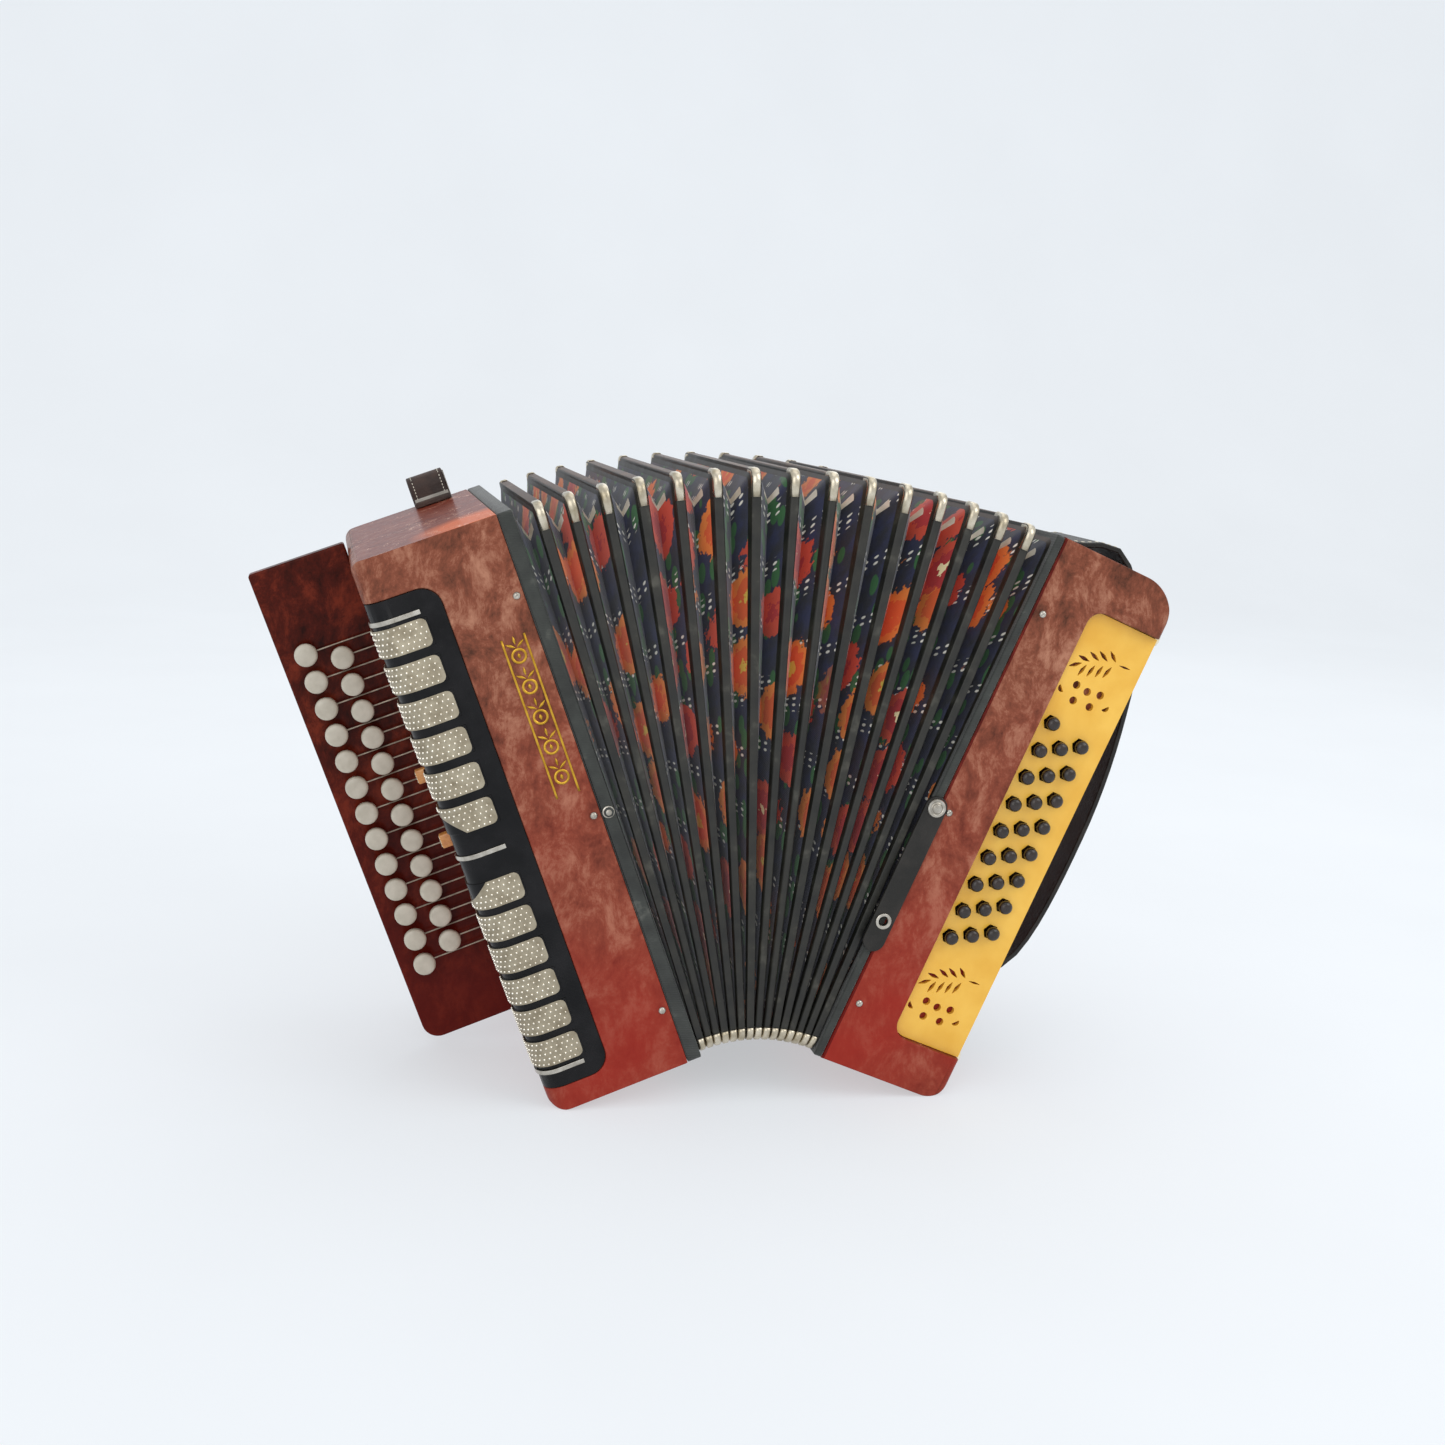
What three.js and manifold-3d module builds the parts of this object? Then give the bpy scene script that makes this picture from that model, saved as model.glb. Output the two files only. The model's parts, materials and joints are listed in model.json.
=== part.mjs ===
// Two-row button accordion, standing fanned open on the outer bottom edges of its two casings.
// Millimetres, +Z up, +X from the treble side to the bass side, the front faces -Y.
// Each side is drawn in its own frame: x = 0 on its bellows hinge line, z = 0 at the fold bottoms.
import * as THREE from 'three';
import { mergeVertices } from 'three/addons/utils/BufferGeometryUtils.js';
import Module from 'manifold-3d';

const wasm = await Module();
wasm.setup();

// General
const clearance = 0.3;          // between pieces that touch
const deg = Math.PI / 180;

// Bellows
const foldCount = 15;
const foldInset = 2.65;         // fold frames inside the casings' outline, front and back
const foldThickBottom = 4.1;
const foldThickTop = 4.9;
const foldWall = 7;             // width of a fold frame's rim
const foldCorner = 6;
const foldGap = 0.36;           // between two fold frames where they hinge
const fanAngle = 43;            // from one casing to the other, degrees
const fanSwell = 0.6;           // how much wider the middle folds open than the end ones
const valleyDepth = 9;          // how far the lining dives between two frames
const clothThick = 3;           // card and lining together

// Both casings
const casingHeight = 321;
const casingDepth = 190;
const casingDrop = 1.5;         // casing bottom below the fold bottoms
const casingWall = 5;
const frameRim = 10;            // width of a bellows frame's rim
const foldHeight = casingHeight - 2 * casingDrop;
const foldDepth = casingDepth - 2 * foldInset;

// Treble side
const trebleWidth = 79;
const trebleFrameThick = 8;
const trebleTopCorner = 6;
const trebleFoot = 9;           // radius of the bottom outer corner
const trebleEdge = 12;          // radius of the upright outer edges
const grilleWidth = 38;
const grilleLow = 14.5;         // grille bottom above the casing bottom
const grilleHigh = 298;         // grille top above the casing bottom
const grilleThick = 1.7;
const grilleCorner = 11;
const grilleWrap = 24;          // how far the grille goes round the edge
const insertCount = 6;          // silver inserts above the middle strip, and again below it
const insertHigh = 15;
const insertRise = 0.8;         // they stand proud of the grille
const insertInside = 28;        // from the outer face to their inner end
const insertWrap = 22;          // how far they go round the edge
const insertUpper = { lowest: 175.9, pitch: 20.05 };  // middle of the lowest, above the casing bottom
const insertLower = { lowest: 35.8, pitch: 19.2 };
const studRadius = 3;
const studHigh = 1.8;
const studLevel = 150.5;

// Treble keyboard
const boardWidth = 55.7;
const boardThick = 10;
const boardLow = 27.5;          // above the casing bottom
const boardHigh = 322.5;
const boardCorner = 10;
const boardFront = 9;           // the board's face behind the casing's middle
const keyPitch = 16.2;
const outerKeys = 13;
const innerKeys = 12;
const topKeyLevel = 269.4;
const outerRowOut = 41.2;       // outer row from the casing
const innerRowOut = 22.8;       // inner row from the casing
const keyCapRadius = 6.5;
const keyCapThick = 4.2;
const keyCapRise = 10.5;        // cap face in front of the board
const keyStem = 3;
const rodWide = 1.3;
const rodLift = 4;              // rod centre in front of the board
const axleInside = 10.5;        // axle from the casing's outer face
const axleRadius = 1;
const hubRadius = 2.4;
const hubWide = 4;
const rodTail = 9;              // rod inside the axle

// Registers
const tabLevels = [192, 153];
const tabForward = 42;          // in front of the casing's middle
const tabWide = 6;
const tabHigh = 8;
const tabOut = 6.5;
const tabTravel = 7;

// Shoulder strap loop
const loopWide = 22;
const loopThick = 3;
const loopRise = 18;
const loopReach = 17;           // from the casing's back to the loop's front foot
const loopFoot = 7;
const loopDrop = 26;            // down the casing's back
const loopFromMouth = 11;

// Reed units
const soundboardThick = 5;
const soundboardInside = 20;    // from the treble casing's mouth
const soundboardClear = 2.3;    // between the bass one and the panel's seat
const reedHalfDepth = 52;
const reedLow = 40;
const reedHigh = 278;

// Bass side
const bassWidth = 79;
const bassFrameThick = 4.7;
const bassTopCorner = 24;
const bassFoot = 14;
const bassEdge = 5;
const panelWidth = 45.4;
const panelLow = 27.3;          // above the casing bottom
const panelHigh = 292.2;
const panelThick = 3;
const panelRecess = 5;
const panelCorner = 9;
const ledge = 4;                // seat behind the panel
const ledgeRim = 6;
const bassRows = [9, 8, 8];
const bassPitch = 16.75;
const bassRowStep = 11.05;
const bassFirstOut = 37.7;      // first row in from the outer face
const bassTopLevel = 223.5;
const bassButtonRadius = 4;
const bassButtonRise = 6.5;
const bassHoleRadius = 4.7;
const bassBarThick = 3;
const bassBarWide = 6;
const airRadius = 5;
const airRise = 5;
const airLevel = 252;
const airForward = 58;

// Hand strap
const handStrapWide = 70;
const handStrapFront = 37;      // its front edge in front of the casing's middle
const handStrapThick = 3.2;
const handStrapBulge = 38;
const handStrapArch = 9;
const handStrapTopEnd = 50;     // its end on the casing top, in from the outer face
const handStrapLow = 18;
const handStrapLift = 1;        // its ends stand off the casing

// Closing strap on the bass frame
const closeStrapLevel = 154.5;
const closeStrapLong = 82;      // from its press stud to the middle of its round end
const closeStrapWide = 13;
const closeStrapThick = 2.2;
const eyeletFromStud = 70;
const eyeletHole = 2.6;
const pressStudRadius = 5.5;
const pressStudHigh = 2.4;
const closeStrapSide = 2.6;     // its middle past the bellows hinge line

// Worked out from the values above
const foldPitch = foldThickBottom + foldGap;
const frameGap = foldGap / 2;
const casingLow = -casingDrop;
const casingHigh = casingLow + casingHeight;
const halfDepth = casingDepth / 2;
const trebleMouth = -(frameGap + trebleFrameThick + clearance);
const trebleOuter = trebleMouth - trebleWidth;
const bassMouth = frameGap + bassFrameThick + clearance;
const bassOuter = bassMouth + bassWidth;

// ---------- materials ----------

const finish = (color, roughness, metalness = 0) =>
  new THREE.MeshStandardMaterial({ color, roughness, metalness });
const celluloid = finish(0x9a5646, 0.3);
const boardCelluloid = finish(0x5a2015, 0.28);
const frameCloth = finish(0x33342f, 0.8);
const foldTape = finish(0x272522, 0.75);
const bellowsFabric = finish(0x182050, 0.9);
const blackGloss = finish(0x0c0c0c, 0.15);
const panelYellow = finish(0xe6b236, 0.45);
const keyPlastic = finish(0xc2b9a9, 0.4);
const bassPlastic = finish(0x2a1713, 0.2);
const tabPlastic = finish(0xc98a2a, 0.4);
const leather = finish(0x1c1a19, 0.65);
const steel = finish(0x9a9a98, 0.35, 0.9);
const spruce = finish(0xb98f5c, 0.7);

// ---------- geometry helpers ----------

function solid(geometry) {
  const bare = geometry.clone();
  bare.deleteAttribute('normal');
  bare.deleteAttribute('uv');
  const merged = mergeVertices(bare, 1e-4);
  return new wasm.Manifold(new wasm.Mesh({
    numProp: 3,
    vertProperties: new Float32Array(merged.attributes.position.array),
    triVerts: new Uint32Array(merged.index.array),
  }));
}

function geometryOf(manifold) {
  const cut = manifold.getMesh();
  const geometry = new THREE.BufferGeometry();
  geometry.setAttribute('position', new THREE.BufferAttribute(cut.vertProperties, 3));
  geometry.setIndex(new THREE.BufferAttribute(cut.triVerts, 1));
  geometry.computeVertexNormals();
  return geometry;
}

function box(x0, x1, y0, y1, z0, z1) {
  const geometry = new THREE.BoxGeometry(x1 - x0, y1 - y0, z1 - z0);
  return solid(geometry.translate((x0 + x1) / 2, (y0 + y1) / 2, (z0 + z1) / 2));
}

// A rectangle with its own radius at each corner: low left, low right, high right, high left.
function roundedRect(u0, u1, v0, v1, [lowLeft, lowRight, highRight, highLeft]) {
  const shape = new THREE.Shape();
  const corner = (u, v, radius, from) => {
    if (radius > 0) shape.absarc(u, v, radius, from * deg, (from + 90) * deg, false);
    else shape.lineTo(u, v);
  };
  shape.moveTo(u0 + lowLeft, v0);
  shape.lineTo(u1 - lowRight, v0);
  corner(u1 - lowRight, v0 + lowRight, lowRight, 270);
  shape.lineTo(u1, v1 - highRight);
  corner(u1 - highRight, v1 - highRight, highRight, 0);
  shape.lineTo(u0 + highLeft, v1);
  corner(u0 + highLeft, v1 - highLeft, highLeft, 90);
  shape.lineTo(u0, v0 + lowLeft);
  corner(u0 + lowLeft, v0 + lowLeft, lowLeft, 180);
  return shape;
}

function alongX(shape, x0, x1, curveSegments = 4) {
  const geometry = new THREE.ExtrudeGeometry(shape, { depth: x1 - x0, bevelEnabled: false, curveSegments });
  const cycle = new THREE.Matrix4().set(0, 0, 1, 0, 1, 0, 0, 0, 0, 1, 0, 0, 0, 0, 0, 1);
  return geometry.applyMatrix4(cycle).translate(x0, 0, 0);
}

function alongY(shape, y0, y1, curveSegments = 4) {
  const geometry = new THREE.ExtrudeGeometry(shape, { depth: y1 - y0, bevelEnabled: false, curveSegments });
  return geometry.rotateX(Math.PI / 2).translate(0, y1, 0);
}

function alongZ(shape, z0, z1, curveSegments = 4) {
  const geometry = new THREE.ExtrudeGeometry(shape, { depth: z1 - z0, bevelEnabled: false, curveSegments });
  return geometry.translate(0, 0, z0);
}

function circle(u, v, radius) {
  const shape = new THREE.Shape();
  shape.absarc(u, v, radius, 0, 2 * Math.PI, false);
  return shape;
}

function piece(name, shape, material) {
  const geometry = shape.isBufferGeometry ? shape : geometryOf(shape);
  const mesh = new THREE.Mesh(geometry, material);
  mesh.name = name;
  return mesh;
}

const twoDigits = (number) => String(number).padStart(2, '0');

// ---------- how the fan stands ----------

// Opening of each bellows hinge as a share of the fan, widest in the middle.
const hingeCount = foldCount + 1;
const swell = Array.from({ length: hingeCount }, (_, i) =>
  1 + fanSwell * Math.sin(Math.PI * (i + 0.5) / hingeCount));
const swellTotal = swell.reduce((sum, share) => sum + share, 0);
const hingeAngles = swell.map((share) => fanAngle * deg * share / swellTotal);

// Hinge lines and leans from the treble side outwards, when the treble side leans by trebleLean.
function chain(trebleLean) {
  const links = [{ x: 0, z: 0, lean: trebleLean }];
  for (let i = 0; i < hingeCount; i += 1) {
    const last = links[i];
    const step = i === 0 ? 0 : foldPitch;
    links.push({
      x: last.x + step * Math.cos(last.lean),
      z: last.z - step * Math.sin(last.lean),
      lean: last.lean + hingeAngles[i],
    });
  }
  return links;
}

const place = (link, x, z) => ({
  x: link.x + x * Math.cos(link.lean) + z * Math.sin(link.lean),
  z: link.z - x * Math.sin(link.lean) + z * Math.cos(link.lean),
});

// Lean at which the round bottom corners of both casings touch one floor.
function standingLean() {
  const upright = chain(0);
  const treble = place(upright[0], trebleOuter + trebleFoot, casingLow + trebleFoot);
  const bass = place(upright[hingeCount], bassOuter - bassFoot, casingLow + bassFoot);
  const across = Math.hypot(bass.x - treble.x, bass.z - treble.z);
  return Math.atan2(bass.z - treble.z, bass.x - treble.x) - Math.asin((bassFoot - trebleFoot) / across);
}

const links = chain(standingLean());

function sideGroup(link) {
  const group = new THREE.Group();
  group.position.set(link.x, 0, link.z);
  group.rotation.y = link.lean;
  return group;
}

// ---------- casings and bellows frames ----------

// A casing's outer or inner form: a profile seen from the front crossed with one seen from above.
function casingForm(mouth, outer, inset, topCorner, footCorner, edge, mouthInset) {
  const sign = Math.sign(outer);
  const near = mouth - sign * mouthInset;
  const far = outer - sign * inset;
  const radius = (value) => Math.max(value - inset, 1);
  const [low, high, side] = [casingLow + inset, casingHigh - inset, halfDepth - inset];
  const front = sign < 0
    ? roundedRect(far, near, low, high, [radius(footCorner), 0, 0, radius(topCorner)])
    : roundedRect(near, far, low, high, [0, radius(footCorner), radius(topCorner), 0]);
  const above = sign < 0
    ? roundedRect(far, near, -side, side, [radius(edge), 0, 0, radius(edge)])
    : roundedRect(near, far, -side, side, [0, radius(edge), radius(edge), 0]);
  return solid(alongY(front, -side, side, 10)).intersect(solid(alongZ(above, low, high, 6)));
}

const trebleForm = (inset, mouthInset = 0) =>
  casingForm(trebleMouth, trebleOuter, inset, trebleTopCorner, trebleFoot, trebleEdge, mouthInset);
const bassForm = (inset, mouthInset = 0) =>
  casingForm(bassMouth, bassOuter, inset, bassTopCorner, bassFoot, bassEdge, mouthInset);

function bellowsFrame(x0, x1) {
  const rim = roundedRect(-halfDepth, halfDepth, casingLow, casingHigh, [2, 2, 2, 2]);
  rim.holes.push(roundedRect(-halfDepth + frameRim, halfDepth - frameRim,
    casingLow + frameRim, casingHigh - frameRim, [3, 3, 3, 3]));
  return alongX(rim, x0, x1, 2);
}

const grilleZone = (grow) => solid(alongY(
  roundedRect(trebleOuter - 5, trebleOuter + grilleWidth + grow,
    casingLow + grilleLow - grow, casingLow + grilleHigh + grow,
    [0, grilleCorner, grilleCorner, 0]),
  -halfDepth - 5, -halfDepth + grilleWrap + grow));

const insertLevels = [insertUpper, insertLower].flatMap(({ lowest, pitch }) =>
  Array.from({ length: insertCount }, (_, i) => casingLow + lowest + pitch * i));

function trebleCasing() {
  const keySpan = keyPitch * (outerKeys - 1);
  const slotY = boardFront - rodLift;
  let casing = trebleForm(0).subtract(trebleForm(casingWall, casingWall));
  casing = casing.subtract(grilleZone(clearance).subtract(trebleForm(grilleThick + clearance)));
  casing = casing.subtract(box(
    trebleOuter - 1, trebleOuter + casingWall + 1, slotY - 3, slotY + 3,
    topKeyLevel - keySpan - hubWide, topKeyLevel + hubWide));
  for (const level of tabLevels) {
    casing = casing.subtract(box(
      trebleOuter - 1, trebleOuter + casingWall + 1, -tabForward - tabWide / 2 - clearance,
      -tabForward + tabWide / 2 + clearance, level - tabHigh / 2 - clearance,
      level + tabHigh / 2 + tabTravel + clearance));
  }
  return casing;
}

function trebleGrille() {
  const skin = trebleForm(-insertRise).subtract(trebleForm(grilleThick / 2));
  let plate = grilleZone(0).intersect(trebleForm(0)).subtract(trebleForm(grilleThick));
  for (const level of insertLevels) {
    plate = plate.add(skin.intersect(box(
      trebleOuter - 2, trebleOuter + insertInside, -halfDepth - 2, -halfDepth + insertWrap,
      level - insertHigh / 2, level + insertHigh / 2)));
  }
  return plate;
}

function trebleFrame() {
  const stud = solid(alongY(
    circle(trebleMouth + clearance + trebleFrameThick / 2, studLevel, studRadius),
    -halfDepth - studHigh, -halfDepth + 1, 3));
  return solid(bellowsFrame(trebleMouth + clearance, -frameGap)).add(stud);
}

// A soundboard inside a casing, with its reed blocks reaching through the bellows frame.
function reedUnit(mouth, sign, inside) {
  const inner = halfDepth - casingWall - clearance;
  const near = mouth + sign * inside;
  const board = [near, near + sign * soundboardThick].sort((a, b) => a - b);
  const block = [near + sign * 1, sign * 1].sort((a, b) => a - b);
  return box(board[0], board[1], -inner, inner,
    casingLow + casingWall + clearance, casingHigh - casingWall - clearance)
    .add(box(block[0], block[1], -reedHalfDepth, -reedHalfDepth / 4, reedLow, reedHigh))
    .add(box(block[0], block[1], reedHalfDepth / 4, reedHalfDepth, reedLow, reedHigh));
}

// ---------- treble keyboard ----------

function fretboard() {
  const right = trebleOuter - clearance;
  return alongY(roundedRect(right - boardWidth, right, casingLow + boardLow, casingLow + boardHigh,
    [boardCorner, 0, 0, 2]), boardFront, boardFront + boardThick);
}

const axleX = trebleOuter + axleInside;
const rodY = boardFront - rodLift;

// A flat cap on its stem, a rod through the casing's slot, and a hub on the axle.
function trebleKey(rowOut, level) {
  const buttonX = trebleOuter - rowOut;
  const face = boardFront - keyCapRise;
  const profile = [
    [0, 0], [keyCapRadius - 1, 0], [keyCapRadius, 1], [keyCapRadius, keyCapThick], [0, keyCapThick],
  ].map(([radius, along]) => new THREE.Vector2(radius, along));
  const cap = solid(new THREE.LatheGeometry(profile, 12).translate(buttonX, face, level));
  const stem = box(buttonX - keyStem / 2, buttonX + keyStem / 2, face + 1, rodY + rodWide / 2,
    level - keyStem / 2, level + keyStem / 2);
  const rod = box(buttonX, axleX + rodTail, rodY - rodWide / 2, rodY + rodWide / 2,
    level - rodWide / 2, level + rodWide / 2);
  const hub = solid(alongZ(circle(axleX, rodY, hubRadius), level - hubWide / 2, level + hubWide / 2, 4));
  const bore = solid(alongZ(circle(axleX, rodY, axleRadius + clearance), level - hubWide, level + hubWide, 4));
  return cap.add(stem).add(rod).add(hub).subtract(bore);
}

function keyAxle() {
  const low = topKeyLevel - keyPitch * (outerKeys - 1) - 9;
  const high = topKeyLevel + 9;
  const stand = (level) => box(trebleOuter + casingWall + clearance, axleX + 2, rodY - 2, rodY + 2,
    level - 2, level + 2);
  return solid(alongZ(circle(axleX, rodY, axleRadius), low, high, 3)).add(stand(low)).add(stand(high));
}

function registerTab(level) {
  return box(trebleOuter - tabOut, trebleOuter + casingWall + 3, -tabForward - tabWide / 2,
    -tabForward + tabWide / 2, level - tabHigh / 2, level + tabHigh / 2)
    .add(box(trebleOuter + casingWall + clearance, trebleOuter + casingWall + 3,
      -tabForward - tabWide, -tabForward + tabWide, level - tabHigh, level + tabHigh));
}

// ---------- straps ----------

// A loop of leather that stands on the casing's top edge and goes down its back.
function shoulderLoop() {
  const back = halfDepth + clearance;
  const top = casingHigh + loopRise;
  const foot = halfDepth - loopReach;
  const outline = new THREE.Shape();
  outline.moveTo(foot - loopFoot, casingHigh + clearance);
  outline.lineTo(foot + loopThick, casingHigh + clearance);
  outline.lineTo(foot + loopThick, top - 8);
  outline.quadraticCurveTo(foot + loopThick, top - loopThick, foot + 10, top - loopThick);
  outline.quadraticCurveTo(back, top - loopThick, back, top - 14);
  outline.lineTo(back, casingHigh - loopDrop);
  outline.lineTo(back + loopThick, casingHigh - loopDrop);
  outline.lineTo(back + loopThick, top - 13);
  outline.quadraticCurveTo(back + loopThick, top, foot + 10, top);
  outline.quadraticCurveTo(foot, top, foot, top - 8);
  outline.lineTo(foot, casingHigh + clearance + loopThick);
  outline.lineTo(foot - loopFoot, casingHigh + clearance + loopThick);
  outline.closePath();
  const right = trebleMouth - loopFromMouth;
  return alongX(outline, right - loopWide, right, 5);
}

// The hand strap's middle line: flat on the casing top, out round the side, in again at the bottom.
function handStrap() {
  const half = handStrapThick / 2;
  const topLine = casingHigh + handStrapLift + half;
  const sideLine = bassOuter + handStrapLift + half;
  const middle = (casingLow + casingHigh) / 2;
  const route = new THREE.CatmullRomCurve3([
    [bassOuter - handStrapTopEnd - 14, topLine],
    [bassOuter - handStrapTopEnd, topLine],
    [bassOuter - bassTopCorner + 4, topLine + handStrapArch],
    [bassOuter + 12, casingHigh - 22],
    [bassOuter + handStrapBulge * 0.78, middle + 82],
    [bassOuter + handStrapBulge, middle + 8],
    [bassOuter + handStrapBulge * 0.8, middle - 76],
    [sideLine + 6, casingLow + handStrapLow + 42],
    [sideLine, casingLow + handStrapLow + 24],
    [sideLine, casingLow + handStrapLow],
  ].map(([x, z]) => new THREE.Vector3(x, 0, z)), false, 'centripetal');
  const steps = 34;
  const sides = [half, -half].map((offset) => Array.from({ length: steps + 1 }, (_, i) => {
    const point = route.getPointAt(i / steps);
    const run = route.getTangentAt(i / steps);
    return new THREE.Vector2(point.x - run.z * offset, point.z + run.x * offset);
  }));
  const outline = new THREE.Shape([...sides[0], ...sides[1].reverse()]);
  return alongY(outline, -handStrapFront, -handStrapFront + handStrapWide);
}

// A leather tongue that hangs from its press stud along the bass frame, with an eyelet.
function closingStrap() {
  const half = closeStrapWide / 2;
  const outline = new THREE.Shape();
  outline.absarc(closeStrapSide, closeStrapLevel, half, 0, Math.PI, false);
  outline.absarc(closeStrapSide, closeStrapLevel - closeStrapLong, half, Math.PI, 2 * Math.PI, false);
  const hole = new THREE.Path();
  hole.absarc(closeStrapSide, closeStrapLevel - eyeletFromStud, eyeletHole, 0, 2 * Math.PI, false);
  outline.holes.push(hole);
  const back = -halfDepth - clearance;
  const tongue = solid(alongY(outline, back - closeStrapThick, back, 6));
  const stud = solid(alongY(circle(closeStrapSide, closeStrapLevel, pressStudRadius),
    back - closeStrapThick - pressStudHigh, back - closeStrapThick + 0.5, 7));
  return tongue.add(stud);
}

// ---------- bass side ----------

const panelX0 = bassOuter - clearance - panelWidth;
const bassBoardInside = panelX0 - ledgeRim - soundboardClear - soundboardThick - bassMouth;
const panelFront = -halfDepth + panelRecess;
const rowX = (row) => bassOuter - bassFirstOut + bassRowStep * row;
const rowTop = (row) => bassTopLevel - (row === 0 ? 0 : bassPitch * (1 - row / 3));

function panelOutline(grow) {
  return roundedRect(panelX0 - grow, bassOuter - clearance + (grow > 0 ? 5 : 0),
    casingLow + panelLow - grow, casingLow + panelHigh + grow, [panelCorner, 0, 0, panelCorner]);
}

function bassCasing() {
  const seat = panelFront + panelThick + clearance;
  const span = bassPitch * (bassRows[0] - 1);
  const window = [rowX(0) - bassBarWide, rowX(2) + bassBarWide];
  let casing = bassForm(0).subtract(bassForm(casingWall, casingWall));
  casing = casing.add(box(panelX0 - ledgeRim, bassOuter - casingWall + 1, -halfDepth + casingWall - 1,
    seat + ledge, casingLow + panelLow - ledgeRim, casingLow + panelHigh + ledgeRim));
  casing = casing.subtract(solid(alongY(panelOutline(clearance), -halfDepth - 1, seat)));
  casing = casing.subtract(box(window[0], window[1], seat - 1, seat + ledge + 1,
    bassTopLevel - span - bassBarWide, bassTopLevel + bassBarWide));
  return casing.subtract(solid(alongX(circle(-airForward, airLevel, airRadius + clearance + 0.3),
    bassOuter - casingWall - 1, bassOuter + 1, 6)));
}

function bassPanel() {
  const outline = panelOutline(0);
  bassRows.forEach((count, row) => {
    for (let i = 0; i < count; i += 1) {
      outline.holes.push(circle(rowX(row), rowTop(row) - bassPitch * i, bassHoleRadius));
    }
  });
  return alongY(outline, panelFront, panelFront + panelThick, 3);
}

// One row of domed buttons on the bar that joins them behind the panel.
function bassRow(row, count) {
  const barFront = panelFront + panelThick + clearance + ledge + 1;
  const tip = panelFront - bassButtonRise;
  const profile = [
    [0, 0], [bassButtonRadius * 0.62, 0.7], [bassButtonRadius, 2.6],
    [bassButtonRadius * 0.8, barFront - tip + 1], [0, barFront - tip + 1],
  ].map(([radius, along]) => new THREE.Vector2(radius, along));
  const top = rowTop(row);
  let bar = box(rowX(row) - bassBarWide / 2, rowX(row) + bassBarWide / 2, barFront, barFront + bassBarThick,
    top - bassPitch * (count - 1) - bassBarWide / 2, top + bassBarWide / 2);
  for (let i = 0; i < count; i += 1) {
    const dome = new THREE.LatheGeometry(profile, 8).translate(rowX(row), tip, top - bassPitch * i);
    bar = bar.add(solid(dome));
  }
  return bar;
}

function airButton() {
  const cap = solid(alongX(circle(-airForward, airLevel, airRadius), bassOuter - casingWall - 4,
    bassOuter + airRise, 5));
  const collar = solid(alongX(circle(-airForward, airLevel, airRadius + 2), bassOuter - casingWall - 4,
    bassOuter - casingWall - clearance, 5));
  return cap.add(collar);
}

// ---------- bellows ----------

// A fold frame, thicker at its top, drawn with x = 0 on the hinge line to its treble neighbour.
function foldFrame() {
  const half = foldDepth / 2;
  const rim = roundedRect(-half, half, 0, foldHeight, Array(4).fill(foldCorner));
  rim.holes.push(roundedRect(-half + foldWall, half - foldWall, foldWall, foldHeight - foldWall,
    Array(4).fill(foldCorner / 2)));
  const geometry = alongX(rim, -foldThickBottom / 2, foldThickBottom / 2, 2);
  const points = geometry.attributes.position;
  const taper = (foldThickTop / foldThickBottom - 1) / foldHeight;
  for (let i = 0; i < points.count; i += 1) {
    points.setX(i, points.getX(i) * (1 + taper * points.getZ(i)) + foldPitch / 2);
  }
  return geometry;
}

// The cloth is one folded sleeve: inside each frame at the peaks, valleyDepth deeper between them.
function bellowsCloth() {
  const peakInset = foldWall + 2 * clearance;
  const stops = [{ link: links[0], lean: links[0].lean, x: -1, inset: peakInset + 1 }];
  for (let i = 1; i <= hingeCount; i += 1) {
    const lean = (links[i - 1].lean + links[i].lean) / 2;
    stops.push({ link: links[i], lean, x: 0, inset: peakInset + valleyDepth });
    const last = i === hingeCount;
    stops.push({
      link: links[i],
      lean: links[i].lean,
      x: last ? 1 : foldPitch / 2,
      inset: peakInset + (last ? 1 : 0),
    });
  }
  const loop = (stop, extra) => {
    const inset = stop.inset + extra;
    const [y, low, high] = [foldDepth / 2 - inset, inset, foldHeight - inset];
    const cut = 4;
    const flat = [
      [-y + cut, low], [y - cut, low], [y, low + cut], [y, high - cut],
      [y - cut, high], [-y + cut, high], [-y, high - cut], [-y, low + cut],
    ];
    return flat.map(([across, up]) => {
      const spot = place({ ...stop.link, lean: stop.lean }, stop.x, up);
      return [spot.x, across, spot.z];
    });
  };
  const outer = stops.map((stop) => loop(stop, 0));
  const inner = stops.map((stop) => loop(stop, clothThick)).reverse();
  const rings = [...outer, ...inner];
  const corners = rings[0].length;
  const triangles = [];
  rings.forEach((_, ring) => {
    for (let k = 0; k < corners; k += 1) {
      const [a, b] = [ring * corners + k, ring * corners + (k + 1) % corners];
      const next = ((ring + 1) % rings.length) * corners;
      const [c, d] = [next + (k + 1) % corners, next + k];
      triangles.push(a, b, c, a, c, d);
    }
  });
  const geometry = new THREE.BufferGeometry();
  geometry.setAttribute('position', new THREE.Float32BufferAttribute(rings.flat(2), 3));
  geometry.setIndex(triangles);
  geometry.computeVertexNormals();
  return geometry;
}

// ---------- assembly ----------

const instrument = new THREE.Group();

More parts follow.
